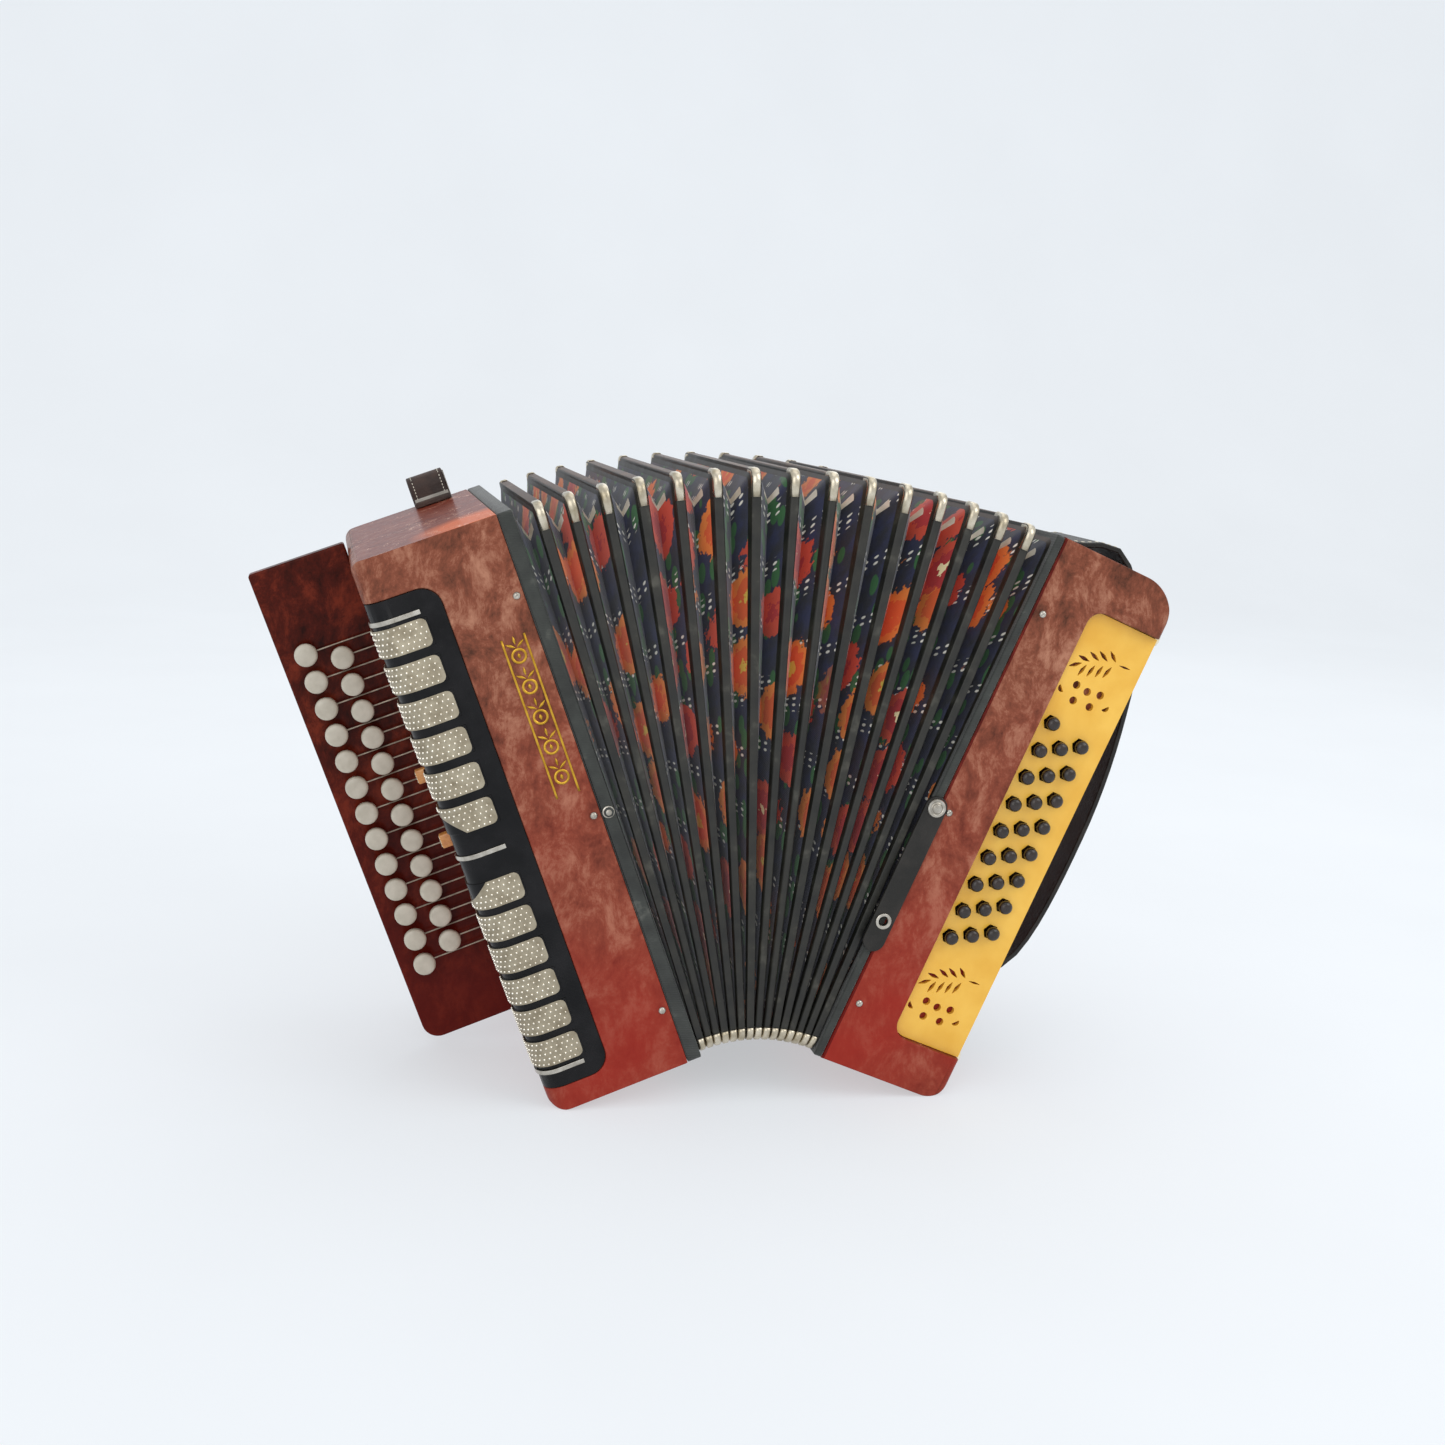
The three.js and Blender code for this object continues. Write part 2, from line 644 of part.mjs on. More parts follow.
const trebleSide = sideGroup(links[0]);
trebleSide.add(
  piece('treble_casing', trebleCasing(), celluloid),
  piece('treble_grille', trebleGrille(), blackGloss),
  piece('treble_bellows_frame', trebleFrame(), frameCloth),
  piece('treble_reed_unit', reedUnit(trebleMouth, -1, soundboardInside), spruce),
  piece('fretboard', fretboard(), boardCelluloid),
  piece('key_axle', keyAxle(), steel),
  piece('shoulder_strap_loop', shoulderLoop(), leather),
);
tabLevels.forEach((level, i) => {
  trebleSide.add(piece(`register_tab_${i + 1}`, registerTab(level), tabPlastic));
});
for (let i = 0; i < outerKeys; i += 1) {
  trebleSide.add(piece(`outer_key_${twoDigits(i + 1)}`,
    trebleKey(outerRowOut, topKeyLevel - keyPitch * i), keyPlastic));
}
for (let i = 0; i < innerKeys; i += 1) {
  trebleSide.add(piece(`inner_key_${twoDigits(i + 1)}`,
    trebleKey(innerRowOut, topKeyLevel - keyPitch * (i + 0.5)), keyPlastic));
}

const foldSides = links.slice(1, hingeCount).map((link, i) => {
  const group = sideGroup(link);
  group.add(piece(`fold_frame_${twoDigits(i + 1)}`, foldFrame(), foldTape));
  return group;
});

const bassSide = sideGroup(links[hingeCount]);
bassSide.add(
  piece('bass_casing', bassCasing(), celluloid),
  piece('bass_bellows_frame', bellowsFrame(frameGap, bassMouth - clearance), frameCloth),
  piece('bass_reed_unit', reedUnit(bassMouth, 1, bassBoardInside), spruce),
  piece('bass_panel', bassPanel(), panelYellow),
  piece('air_button', airButton(), bassPlastic),
  piece('hand_strap', handStrap(), leather),
  piece('closing_strap', closingStrap(), leather),
);
bassRows.forEach((count, row) => {
  bassSide.add(piece(`bass_button_row_${row + 1}`, bassRow(row, count), bassPlastic));
});

instrument.add(trebleSide, ...foldSides, bassSide, piece('bellows_cloth', bellowsCloth(), bellowsFabric));

// The origin is the middle of the bounding box's underside.
const bounds = new THREE.Box3().setFromObject(instrument, true);
const centre = bounds.getCenter(new THREE.Vector3());
instrument.position.set(-centre.x, -centre.y, -bounds.min.z);

export default instrument;
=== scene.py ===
# Two-row button accordion, standing fanned open on the outer bottom edges of its casings.
# Pieces are drawn in millimetres in the frame of the side or fold that they belong to.
import json
import math
import random

import bmesh
import bpy
from mathutils import Matrix, Vector
from mathutils.bvhtree import BVHTree


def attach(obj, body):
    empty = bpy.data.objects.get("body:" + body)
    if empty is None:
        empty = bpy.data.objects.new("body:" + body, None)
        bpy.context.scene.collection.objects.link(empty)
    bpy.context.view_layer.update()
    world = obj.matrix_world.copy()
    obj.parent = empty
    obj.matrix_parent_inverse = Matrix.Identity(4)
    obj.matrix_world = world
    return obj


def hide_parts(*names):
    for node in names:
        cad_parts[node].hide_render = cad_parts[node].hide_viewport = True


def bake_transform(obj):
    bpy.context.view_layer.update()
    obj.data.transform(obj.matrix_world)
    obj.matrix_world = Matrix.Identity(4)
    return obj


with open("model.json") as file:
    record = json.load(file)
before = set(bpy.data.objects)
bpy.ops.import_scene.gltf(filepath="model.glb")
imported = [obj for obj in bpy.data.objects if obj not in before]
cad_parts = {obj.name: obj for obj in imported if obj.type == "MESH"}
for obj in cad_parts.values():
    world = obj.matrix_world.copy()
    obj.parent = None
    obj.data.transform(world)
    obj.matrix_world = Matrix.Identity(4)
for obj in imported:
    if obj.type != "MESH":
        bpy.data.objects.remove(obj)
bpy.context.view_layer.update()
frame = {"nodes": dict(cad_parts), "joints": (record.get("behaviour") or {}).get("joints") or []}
cadNodes = frame["nodes"]
joints = {joint["name"]: joint for joint in frame["joints"]}
mm = 0.001
chance = random.Random(7)

# sizes that every piece shares, in mm
body = {
    "foldCount": 15, "foldHeight": 318, "foldHalf": 92.35, "foldPitch": 4.46,
    "foldBottom": 4.1, "foldTop": 4.9, "casingLow": -1.5, "casingHigh": 319.5, "half": 95,
    "trebleOuter": -87.48, "trebleMouth": -8.48, "bassMouth": 5.18, "bassOuter": 84.18,
    "frameFace": 0.18,
}


# where each body stands

def standing(point, lean):
    return Matrix.Translation(point) @ Matrix.Rotation(lean, 4, "Y") @ Matrix.Scale(mm, 4)


hinges = [Vector(joints[f"bellows_hinge_{i:02d}"]["pos_m"]) for i in range(1, body["foldCount"] + 2)]
keyAxis = Vector(joints["outer_key_01_press"]["axis"])
airAxis = Vector(joints["air_button_press"]["axis"])
trebleAt = standing(hinges[0], math.atan2(-keyAxis.x, -keyAxis.z))
bassAt = standing(hinges[-1], math.atan2(airAxis.z, -airAxis.x))
foldAt = []
for near, far in zip(hinges, hinges[1:]):
    foldAt.append(standing(near, math.atan2(near.z - far.z, far.x - near.x)))
print("frame read:", len(foldAt), "folds")


# materials

def tint(code):
    parts = [int(code[i:i + 2], 16) / 255 for i in (1, 3, 5)]
    return [((c + 0.055) / 1.055) ** 2.4 if c > 0.04 else c / 12.92 for c in parts] + [1]


def newMaterial(name, colour, rough, **sockets):
    made = bpy.data.materials.new(name)
    made.use_nodes = True
    shader = made.node_tree.nodes["Principled BSDF"]
    shader.inputs["Base Color"].default_value = tint(colour)
    shader.inputs["Roughness"].default_value = rough
    for key, value in sockets.items():
        shader.inputs[key.replace("_", " ")].default_value = value
    return made


def tool(made, kind, inputs=None, **settings):
    added = made.node_tree.nodes.new("ShaderNode" + kind)
    for key, value in settings.items():
        setattr(added, key, value)
    for key, value in (inputs or {}).items():
        added.inputs[key].default_value = value
    return added


def wire(made, source, output, target, socket):
    made.node_tree.links.new(source.outputs[output], target.inputs[socket])


def where(made, scale=(1, 1, 1), output="Object"):
    spot = tool(made, "TexCoord")
    mapped = tool(made, "Mapping", {"Scale": scale})
    wire(made, spot, output, mapped, "Vector")
    return mapped


def noise(made, at, scale, detail=5, rough=0.55, twist=0.0):
    cloud = tool(made, "TexNoise", {"Scale": scale, "Detail": detail, "Roughness": rough,
                                    "Distortion": twist})
    wire(made, at, "Vector", cloud, "Vector")
    return cloud


def ramp(made, source, output, stops, smooth="LINEAR"):
    band = tool(made, "ValToRGB")
    band.color_ramp.interpolation = smooth
    slots = band.color_ramp.elements
    while len(slots) < len(stops):
        slots.new(0.5)
    for slot, (place, colour) in zip(slots, stops):
        slot.position = place
        slot.color = tint(colour) if isinstance(colour, str) else (colour, colour, colour, 1)
    wire(made, source, output, band, "Fac")
    return band


def mix(made, share, shareOut, first, firstOut, second, secondOut, blend="MIX"):
    both = tool(made, "Mix", data_type="RGBA", blend_type=blend)
    if share is None:
        both.inputs[0].default_value = shareOut
    else:
        wire(made, share, shareOut, both, 0)
    for part, out, socket in ((first, firstOut, 6), (second, secondOut, 7)):
        if isinstance(part, str):
            both.inputs[socket].default_value = tint(part)
        else:
            wire(made, part, out, both, socket)
    return both


def colourFrom(made, source, output):
    wire(made, source, output, made.node_tree.nodes["Principled BSDF"], "Base Color")


def roughFrom(made, source, output, low, high):
    span = tool(made, "MapRange", {"To Min": low, "To Max": high})
    wire(made, source, output, span, "Value")
    wire(made, span, "Result", made.node_tree.nodes["Principled BSDF"], "Roughness")


def bumpFrom(made, source, output, strength, depth):
    bump = tool(made, "Bump", {"Strength": strength, "Distance": depth})
    wire(made, source, output, bump, "Height")
    wire(made, bump, "Normal", made.node_tree.nodes["Principled BSDF"], "Normal")


def clamped(made, source, output, low, high, outLow=0.0, outHigh=1.0):
    span = tool(made, "MapRange", {"From Min": low, "From Max": high,
                                   "To Min": outLow, "To Max": outHigh})
    wire(made, source, output, span, "Value")
    return span


def sum2(made, first, firstOut, second, secondOut, kind="ADD"):
    total = tool(made, "Math", operation=kind)
    wire(made, first, firstOut, total, 0)
    if isinstance(second, (int, float)):
        total.inputs[1].default_value = second
    else:
        wire(made, second, secondOut, total, 1)
    return total


def celluloid(name, dark, middle, light, red, crack, redTop, glow=None):
    made = newMaterial(name, middle, 0.3, Coat_Weight=0.1, Coat_Roughness=0.14,
                       Specular_IOR_Level=0.03)
    at = where(made)
    cloud = noise(made, where(made, (1, 1, 0.65)), 62, 13, 0.76, 0.3)
    marble = ramp(made, cloud, "Fac", [(0.36, dark), (0.5, middle), (0.63, light)])
    level = tool(made, "SeparateXYZ")
    wire(made, at, "Vector", level, "Vector")
    low = clamped(made, level, "Z", redTop, 0.04)
    patch = noise(made, at, 9, 4, 0.5, 0.5)
    lowPatch = sum2(made, low, "Result", patch, "Fac", "MULTIPLY")
    lowShare = clamped(made, lowPatch, "Value", 0.05, 0.6, 0, 0.85)
    warm = mix(made, lowShare, "Result", marble, "Color", red, None)
    facing = tool(made, "SeparateXYZ")
    wire(made, where(made, output="Normal"), "Vector", facing, "Vector")
    up = clamped(made, facing, "Z", 0.7, 0.9)
    if glow:
        topShare = clamped(made, up, "Result", 0, 1, 0, 0.65)
        warm = mix(made, topShare, "Result", warm, 2, glow["top"], None)
        spot = tool(made, "Mapping", {"Location": -glow["at"] * glow["scale"],
                                      "Scale": [glow["scale"]] * 3})
        wire(made, at, "Vector", spot, "Vector")
        blot = tool(made, "TexGradient", gradient_type="SPHERICAL")
        wire(made, spot, "Vector", blot, "Vector")
        torn = sum2(made, blot, "Fac", up, "Result", "MULTIPLY")
        near = clamped(made, torn, "Value", 0.15, 0.6, 0, 0.85)
        warm = mix(made, near, "Result", warm, 2, glow["spot"], None)
    cells = tool(made, "TexVoronoi", {"Scale": 34, "Randomness": 1}, feature="DISTANCE_TO_EDGE")
    bent = noise(made, at, 60, 3)
    shifted = mix(made, None, 0.03, at, "Vector", bent, "Color")
    wire(made, shifted, 2, cells, "Vector")
    line = clamped(made, cells, "Distance", 0.012, 0.0)
    sparse = clamped(made, patch, "Fac", 0.4, 0.5)
    cracked = sum2(made, line, "Result", sparse, "Result", "MULTIPLY")
    upward = sum2(made, cracked, "Value", up, "Result", "MULTIPLY")
    shown = clamped(made, upward, "Value", 0, 1, 0, 0.75)
    final = mix(made, shown, "Result", warm, 2, crack, None)
    colourFrom(made, final, 2)
    fine = noise(made, at, 420, 4)
    roughFrom(made, fine, "Fac", 0.2, 0.42)
    wave = noise(made, at, 55, 3)
    bumpFrom(made, wave, "Fac", 0.12, 0.0015)
    return made


def leatherLike(name, dark, light, rough, scale=900, depth=0.0003):
    made = newMaterial(name, dark, rough, Specular_IOR_Level=0.4)
    at = where(made)
    grain = tool(made, "TexVoronoi", {"Scale": scale})
    wire(made, at, "Vector", grain, "Vector")
    worn = noise(made, at, 60, 6)
    shade = ramp(made, worn, "Fac", [(0.42, dark), (0.72, light)])
    colourFrom(made, shade, "Color")
    roughFrom(made, worn, "Fac", rough - 0.1, rough + 0.15)
    bumpFrom(made, grain, "Distance", 0.5, depth)
    return made


def metalLike(name, colour, stain, rough):
    made = newMaterial(name, colour, rough, Metallic=1.0)
    at = where(made)
    cloud = noise(made, at, 160, 6)
    shade = ramp(made, cloud, "Fac", [(0.35, colour), (0.75, stain)])
    colourFrom(made, shade, "Color")
    roughFrom(made, cloud, "Fac", rough - 0.08, rough + 0.2)
    scratch = noise(made, where(made, (1, 1, 12)), 700, 3)
    bumpFrom(made, scratch, "Fac", 0.15, 0.0002)
    return made


def plasticLike(name, colour, second, rough, scale=120, coat=0.3):
    made = newMaterial(name, colour, rough, Coat_Weight=coat, Coat_Roughness=0.15)
    at = where(made)
    cloud = noise(made, at, scale, 6)
    shade = ramp(made, cloud, "Fac", [(0.35, colour), (0.7, second)])
    colourFrom(made, shade, "Color")
    roughFrom(made, noise(made, at, scale * 6, 4), "Fac", rough - 0.08, rough + 0.16)
    bumpFrom(made, noise(made, at, scale * 4, 3), "Fac", 0.08, 0.0004)
    return made


def wovenLike(name, colour, second, rough, threads=1500, worn="#8a8a80"):
    made = newMaterial(name, colour, rough, Sheen_Weight=0.25, Sheen_Roughness=0.5)
    at = where(made)
    across = tool(made, "TexWave", {"Scale": threads / 6.28, "Distortion": 0.6}, bands_direction="Y")
    along = tool(made, "TexWave", {"Scale": threads / 6.28, "Distortion": 0.6}, bands_direction="Z")
    for strand in (across, along):
        wire(made, at, "Vector", strand, "Vector")
    cloth = sum2(made, across, "Fac", along, "Fac")
    cloud = noise(made, at, 70, 7)
    shade = ramp(made, cloud, "Fac", [(0.35, colour), (0.62, second), (0.8, worn)])
    colourFrom(made, shade, "Color")
    bumpFrom(made, cloth, "Value", 0.35, 0.00025)
    return made


def printedCotton():
    made = newMaterial("printedCotton", "#141c48", 0.85, Sheen_Weight=0.3, Sheen_Roughness=0.5)
    at = where(made, output="UV")
    ground = ramp(made, noise(made, at, 90, 5), "Fac", [(0.4, "#0b0e22"), (0.65, "#131b45")])
    # flowers with five petals, orange or red, one to a cell
    cell = tool(made, "TexVoronoi", {"Scale": 26, "Randomness": 0.75})
    ruffled = mix(made, None, 0.012, at, "Vector", noise(made, at, 260, 2), "Color")
    wire(made, ruffled, 2, cell, "Vector")
    petals = ramp(made, cell, "Distance", [(0.06, "#d8b43c"), (0.12, "#d8540c"), (0.3, "#e07820")],
                  "CONSTANT")
    reds = ramp(made, cell, "Distance", [(0.05, "#f6e6b0"), (0.1, "#a8161a"), (0.27, "#c43c1c")],
                "CONSTANT")
    parts = tool(made, "SeparateColor")
    wire(made, cell, "Color", parts, "Color")
    which = clamped(made, parts, "Red", 0.62, 0.63)
    flower = mix(made, which, "Result", petals, "Color", reds, "Color")
    reach = clamped(made, cell, "Distance", 0.44, 0.42)
    some = clamped(made, parts, "Green", 0.2, 0.21)
    bloom = sum2(made, reach, "Result", some, "Result", "MULTIPLY")
    # green leaves between them
    leafAt = where(made, (1, 2.0, 1), "UV")
    leafCell = tool(made, "TexVoronoi", {"Scale": 55, "Randomness": 1})
    wire(made, leafAt, "Vector", leafCell, "Vector")
    leaf = clamped(made, leafCell, "Distance", 0.36, 0.33)
    green = mix(made, leaf, "Result", ground, "Color", "#1f5c28", None)
    # rows of oval white dots
    dotAt = where(made, (1, 0.6, 1), "UV")
    dotCell = tool(made, "TexVoronoi", {"Scale": 250, "Randomness": 0.1})
    wire(made, dotAt, "Vector", dotCell, "Vector")
    dot = clamped(made, dotCell, "Distance", 0.26, 0.2)
    rows = tool(made, "TexWave", {"Scale": 9, "Distortion": 2}, bands_direction="X")
    wire(made, at, "Vector", rows, "Vector")
    inRow = clamped(made, rows, "Fac", 0.86, 0.9)
    dotted = sum2(made, dot, "Result", inRow, "Result", "MULTIPLY")
    white = mix(made, dotted, "Value", green, 2, "#e8e4d8", None)
    final = mix(made, bloom, "Value", white, 2, flower, 2)
    colourFrom(made, final, 2)
    weave = tool(made, "TexWave", {"Scale": 420}, bands_direction="DIAGONAL")
    wire(made, at, "Vector", weave, "Vector")
    bumpFrom(made, weave, "Fac", 0.3, 0.0002)
    return made


def foldTapeMaterial():
    made = newMaterial("foldTape", "#33322c", 0.5, Specular_IOR_Level=0.45)
    at = where(made)
    cloud = noise(made, at, 80, 8)
    # upward faces take a lighter, browner copy of the tape colours: the brown is the tops' own tone, the
    # extra lightness is a painted highlight from above
    front = ramp(made, cloud, "Fac", [(0.35, "#161613"), (0.6, "#26251f"), (0.85, "#55534a")])
    top = ramp(made, cloud, "Fac", [(0.35, "#3d2c23"), (0.6, "#58453a"), (0.85, "#87766a")])
    parts = tool(made, "SeparateXYZ")
    wire(made, where(made, output="Normal"), "Vector", parts, "Vector")
    up = clamped(made, parts, "Z", 0.35, 0.75)
    colourFrom(made, mix(made, up, "Result", front, "Color", top, "Color"), 2)
    fine = noise(made, at, 1400, 3)
    roughFrom(made, cloud, "Fac", 0.36, 0.62)
    bumpFrom(made, fine, "Fac", 0.3, 0.0002)
    return made


def diamondGloss():
    made = newMaterial("blackGloss", "#0b0b0c", 0.22, Specular_IOR_Level=0.2)
    at = where(made)
    turned = tool(made, "Mapping", {"Rotation": (0, math.radians(45 - 20.8), 0)})
    wire(made, at, "Vector", turned, "Vector")
    checks = tool(made, "TexChecker", {"Scale": 620})
    wire(made, turned, "Vector", checks, "Vector")
    level = tool(made, "SeparateXYZ")
    wire(made, at, "Vector", level, "Vector")
    low = clamped(made, level, "Z", 0.12, 0.06)
    relief = sum2(made, checks, "Fac", low, "Result", "MULTIPLY")
    shade = ramp(made, noise(made, at, 50, 5), "Fac", [(0.4, "#08080a"), (0.75, "#1b1a1c")])
    colourFrom(made, shade, "Color")
    roughFrom(made, noise(made, at, 200, 4), "Fac", 0.16, 0.34)
    bumpFrom(made, relief, "Value", 0.5, 0.0002)
    return made


# an orange patch at the front of the treble casing's top, blended onto its upward faces around one point
glowAt = Vector((body["trebleMouth"] - 12, -body["half"] + 16, body["casingHigh"]))
casingGlow = {"top": "#6e2214", "spot": "#d8641e", "scale": 24.0, "at": trebleAt @ glowAt}
finish = {
    "casing": celluloid("casingCelluloid", "#4f3025", "#824a38", "#ab7760", "#96271f", "#e8b8a0",
                        0.27, casingGlow),
    "board": celluloid("boardCelluloid", "#2a0d08", "#4c180f", "#732b1a", "#5c140f", "#8a4530",
                       0.2),
    "redEdge": celluloid("redEdge", "#3c100c", "#5c1812", "#7c2a1e", "#6a1410", "#b06050", 0.2),
    "frameCloth": wovenLike("frameCloth", "#1f211e", "#30332f", 0.75, 1500, "#6c6c64"),
    "tape": foldTapeMaterial(),
    "print": printedCotton(),
    "gusset": leatherLike("gussetLeather", "#c8bcaa", "#f0e8dc", 0.7, 1300),
    "cap": metalLike("capMetal", "#d8cfbc", "#9a8e74", 0.24),
    "grille": diamondGloss(),
    "silver": metalLike("embossedSilver", "#b3a994", "#8b806c", 0.36),
    "dots": metalLike("brightDots", "#f4efe4", "#d8cfbe", 0.16),
    "panel": plasticLike("panelYellow", "#e2a92e", "#eebc48", 0.34, 40, 0.4),
    "key": plasticLike("keyPlastic", "#b4ad9c", "#c9c2b2", 0.38),
    "rod": metalLike("rodMetal", "#a89a8a", "#6c6054", 0.34),
    "bassButton": plasticLike("bassButton", "#160e0b", "#2a1a14", 0.24, 200, 0.2),
    "register": plasticLike("registerAmber", "#b8702a", "#d99a4a", 0.25, 150, 0.6),
    "leather": leatherLike("blackLeather", "#15130f", "#2b2723", 0.5),
    "brownLeather": leatherLike("loopLeather", "#2a1c17", "#4a352c", 0.55),
    "wornLeather": leatherLike("wornLeather", "#8d8880", "#b4afa6", 0.7),
    "thread": wovenLike("thread", "#cfc8b4", "#e4dfd0", 0.8, 3000, "#f0ece0"),
    "nickel": metalLike("nickel", "#c9c4ba", "#8b8478", 0.2),
    "gold": metalLike("goldLeaf", "#d8a93e", "#a87a24", 0.3),
    "spruce": plasticLike("spruce", "#9a7444", "#b98f5a", 0.6, 30, 0.0),
    "ivory": plasticLike("ivory", "#ded2ae", "#efe6ca", 0.35, 90, 0.4),
}
print("materials:", len(finish))


# making pieces

# a mesh in mm becomes a piece in metres that rides on a body
def finishPiece(bm, name, on, at, materials, replaced=(), smooth=38, weld=1e-3,
                normals=True):
    if weld:
        bmesh.ops.remove_doubles(bm, verts=bm.verts, dist=weld)
    if normals:
        bmesh.ops.recalc_face_normals(bm, faces=bm.faces)
    bmesh.ops.transform(bm, matrix=at, verts=bm.verts)
    mesh = bpy.data.meshes.new(name)
    bm.to_mesh(mesh)
    bm.free()
    mesh.shade_smooth()
    mesh.set_sharp_from_angle(angle=math.radians(smooth))
    for key in materials:
        mesh.materials.append(finish[key])
    made = bpy.data.objects.new(name, mesh)
    bpy.context.scene.collection.objects.link(made)
    if on:
        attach(made, on)
    if replaced:
        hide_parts(*replaced)
    return made


def rounded(made, width, segments=3, angle=35, clamp=False):
    edge = made.modifiers.new("edges", "BEVEL")
    edge.width = width * mm
    edge.segments = segments
    edge.limit_method = "ANGLE"
    edge.angle_limit = math.radians(angle)
    edge.use_clamp_overlap = clamp
    edge.harden_normals = True
    return made


def walled(made, thick, offset):
    wall = made.modifiers.new("wall", "SOLIDIFY")
    wall.thickness = thick * mm
    wall.offset = offset
    return made


def cadShape(node, at, merge=True):
    bm = bmesh.new()
    bm.from_mesh(cadNodes[node].data)
    bmesh.ops.transform(bm, matrix=at.inverted(), verts=bm.verts)
    bmesh.ops.remove_doubles(bm, verts=bm.verts, dist=0.002)
    if merge:
        bmesh.ops.dissolve_limit(bm, angle_limit=math.radians(0.6), verts=bm.verts, edges=bm.edges)
    for face in bm.faces:
        face.material_index = 0
    return bm


# a CAD part with its edges rounded and a finish of its own
def refined(node, name, on, at, materials, bevel=0.5, segments=2, angle=35, smooth=38,
            merge=True):
    made = finishPiece(cadShape(node, at, merge), name, on, at, materials, (node,), smooth,
                       normals=False)
    if bevel:
        rounded(made, bevel, segments, angle)
    return made


def absorb(bm, one, index=0, matrix=None):
    for face in one.faces:
        face.material_index = index
    if matrix:
        bmesh.ops.transform(one, matrix=matrix, verts=one.verts)
    kept = bpy.data.meshes.new("kept")
    one.to_mesh(kept)
    one.free()
    bm.from_mesh(kept)
    bpy.data.meshes.remove(kept)


def stamp(bm, shape, matrix):
    copied = shape.copy()
    copied.transform(matrix)
    bm.from_mesh(copied)
    bpy.data.meshes.remove(copied)


def vertsIn(parts):
    return [part for part in parts if isinstance(part, bmesh.types.BMVert)]


def edgesIn(parts):
    return [part for part in parts if isinstance(part, bmesh.types.BMEdge)]


def facing(axis):
    return Vector((0, 0, 1)).rotation_difference(Vector(axis)).to_matrix().to_4x4()


def block(low, high):
    one = bmesh.new()
    bmesh.ops.create_cube(one, size=1)
    bmesh.ops.scale(one, vec=[b - a for a, b in zip(low, high)], verts=one.verts)
    bmesh.ops.translate(one, vec=[(a + b) / 2 for a, b in zip(low, high)], verts=one.verts)
    return one


def softBox(bm, low, high, bevel, index=0, segments=2):
    one = block(low, high)
    bmesh.ops.bevel(one, geom=one.edges[:], offset=bevel, segments=segments, profile=0.5,
                    affect="EDGES", material=-1)
    absorb(bm, one, index)


# a profile of (radius, height) spun round an axis
def turned(bm, profile, axisAt, axis, steps, index=0):
    one = bmesh.new()
    points = [one.verts.new((radius, 0, along)) for radius, along in profile]
    edges = [one.edges.new(pair) for pair in zip(points, points[1:])]
    bmesh.ops.spin(one, geom=points + edges, cent=(0, 0, 0), axis=(0, 0, 1), angle=math.tau,
                   steps=steps, use_merge=True)
    bmesh.ops.remove_doubles(one, verts=one.verts, dist=1e-4)
    absorb(bm, one, index, Matrix.Translation(axisAt) @ facing(axis))


def bar(bm, start, end, radius, steps=10, index=0):
    start, end = Vector(start), Vector(end)
    one = bmesh.new()
    bmesh.ops.create_cone(one, cap_ends=True, segments=steps, radius1=radius, radius2=radius,
                          depth=(end - start).length)
    absorb(bm, one, index, Matrix.Translation((start + end) / 2) @ facing(end - start))


def cutAway(made, cutter):
    cut = made.modifiers.new("cut", "BOOLEAN")
    cut.object = cutter
    cut.solver = "EXACT"
    bpy.context.view_layer.update()
    shape = made.evaluated_get(bpy.context.evaluated_depsgraph_get())
    result = bpy.data.meshes.new_from_object(shape)
    made.modifiers.remove(cut)
    old = made.data
    made.data = result
    bpy.data.meshes.remove(old)
    bpy.data.objects.remove(cutter)


def bead(across, long, around, rings):
    one = bmesh.new()
    bmesh.ops.create_uvsphere(one, u_segments=around, v_segments=rings, radius=1)
    bmesh.ops.scale(one, vec=(across, across, long), verts=one.verts)
    made = bpy.data.meshes.new("bead")
    one.to_mesh(made)
    one.free()
    return made


# stitches lie on what a ray from each start meets
def stitchRow(bm, tree, starts, direction, long=2.6, thick=0.42, lift=0.1):
    hits = [tree.ray_cast(Vector(start), Vector(direction)) for start in starts]
    hits = [hit for hit in hits if hit[0] is not None]
    stitch = bead(thick, long / 2, 6, 5)
    for (spot, normal, _, _), (after, _, _, _) in zip(hits, hits[1:]):
        middle = (spot + after) / 2 + normal * lift
        stamp(bm, stitch, Matrix.Translation(middle) @ facing(after - spot))


def paintNode(node, *materials):
    data = cadNodes[node].data
    data.materials.clear()
    for key in materials:
        data.materials.append(finish[key])


# casings, their frames and what is inside

refined("treble_casing", "treble_shell", "treble_side", trebleAt, ["casing"], 0.7, 3)
refined("bass_casing", "bass_shell", "bass_side", bassAt, ["casing"], 0.7, 3)
refined("fretboard", "keyboard_plate", "treble_side", trebleAt, ["board"], 1.2, 3)
refined("treble_bellows_frame", "treble_frame", "treble_side", trebleAt, ["frameCloth"],
        0.7, 2, merge=False)
refined("bass_bellows_frame", "bass_frame", "bass_side", bassAt, ["frameCloth"], 1.1, 3)
refined("air_button", "air_button_cap", "air_button", bassAt, ["bassButton"],
        0.8, 3)
for reedNode in ("treble_reed_unit", "bass_reed_unit"):
    paintNode(reedNode, "spruce")
paintNode("key_axle", "rod")

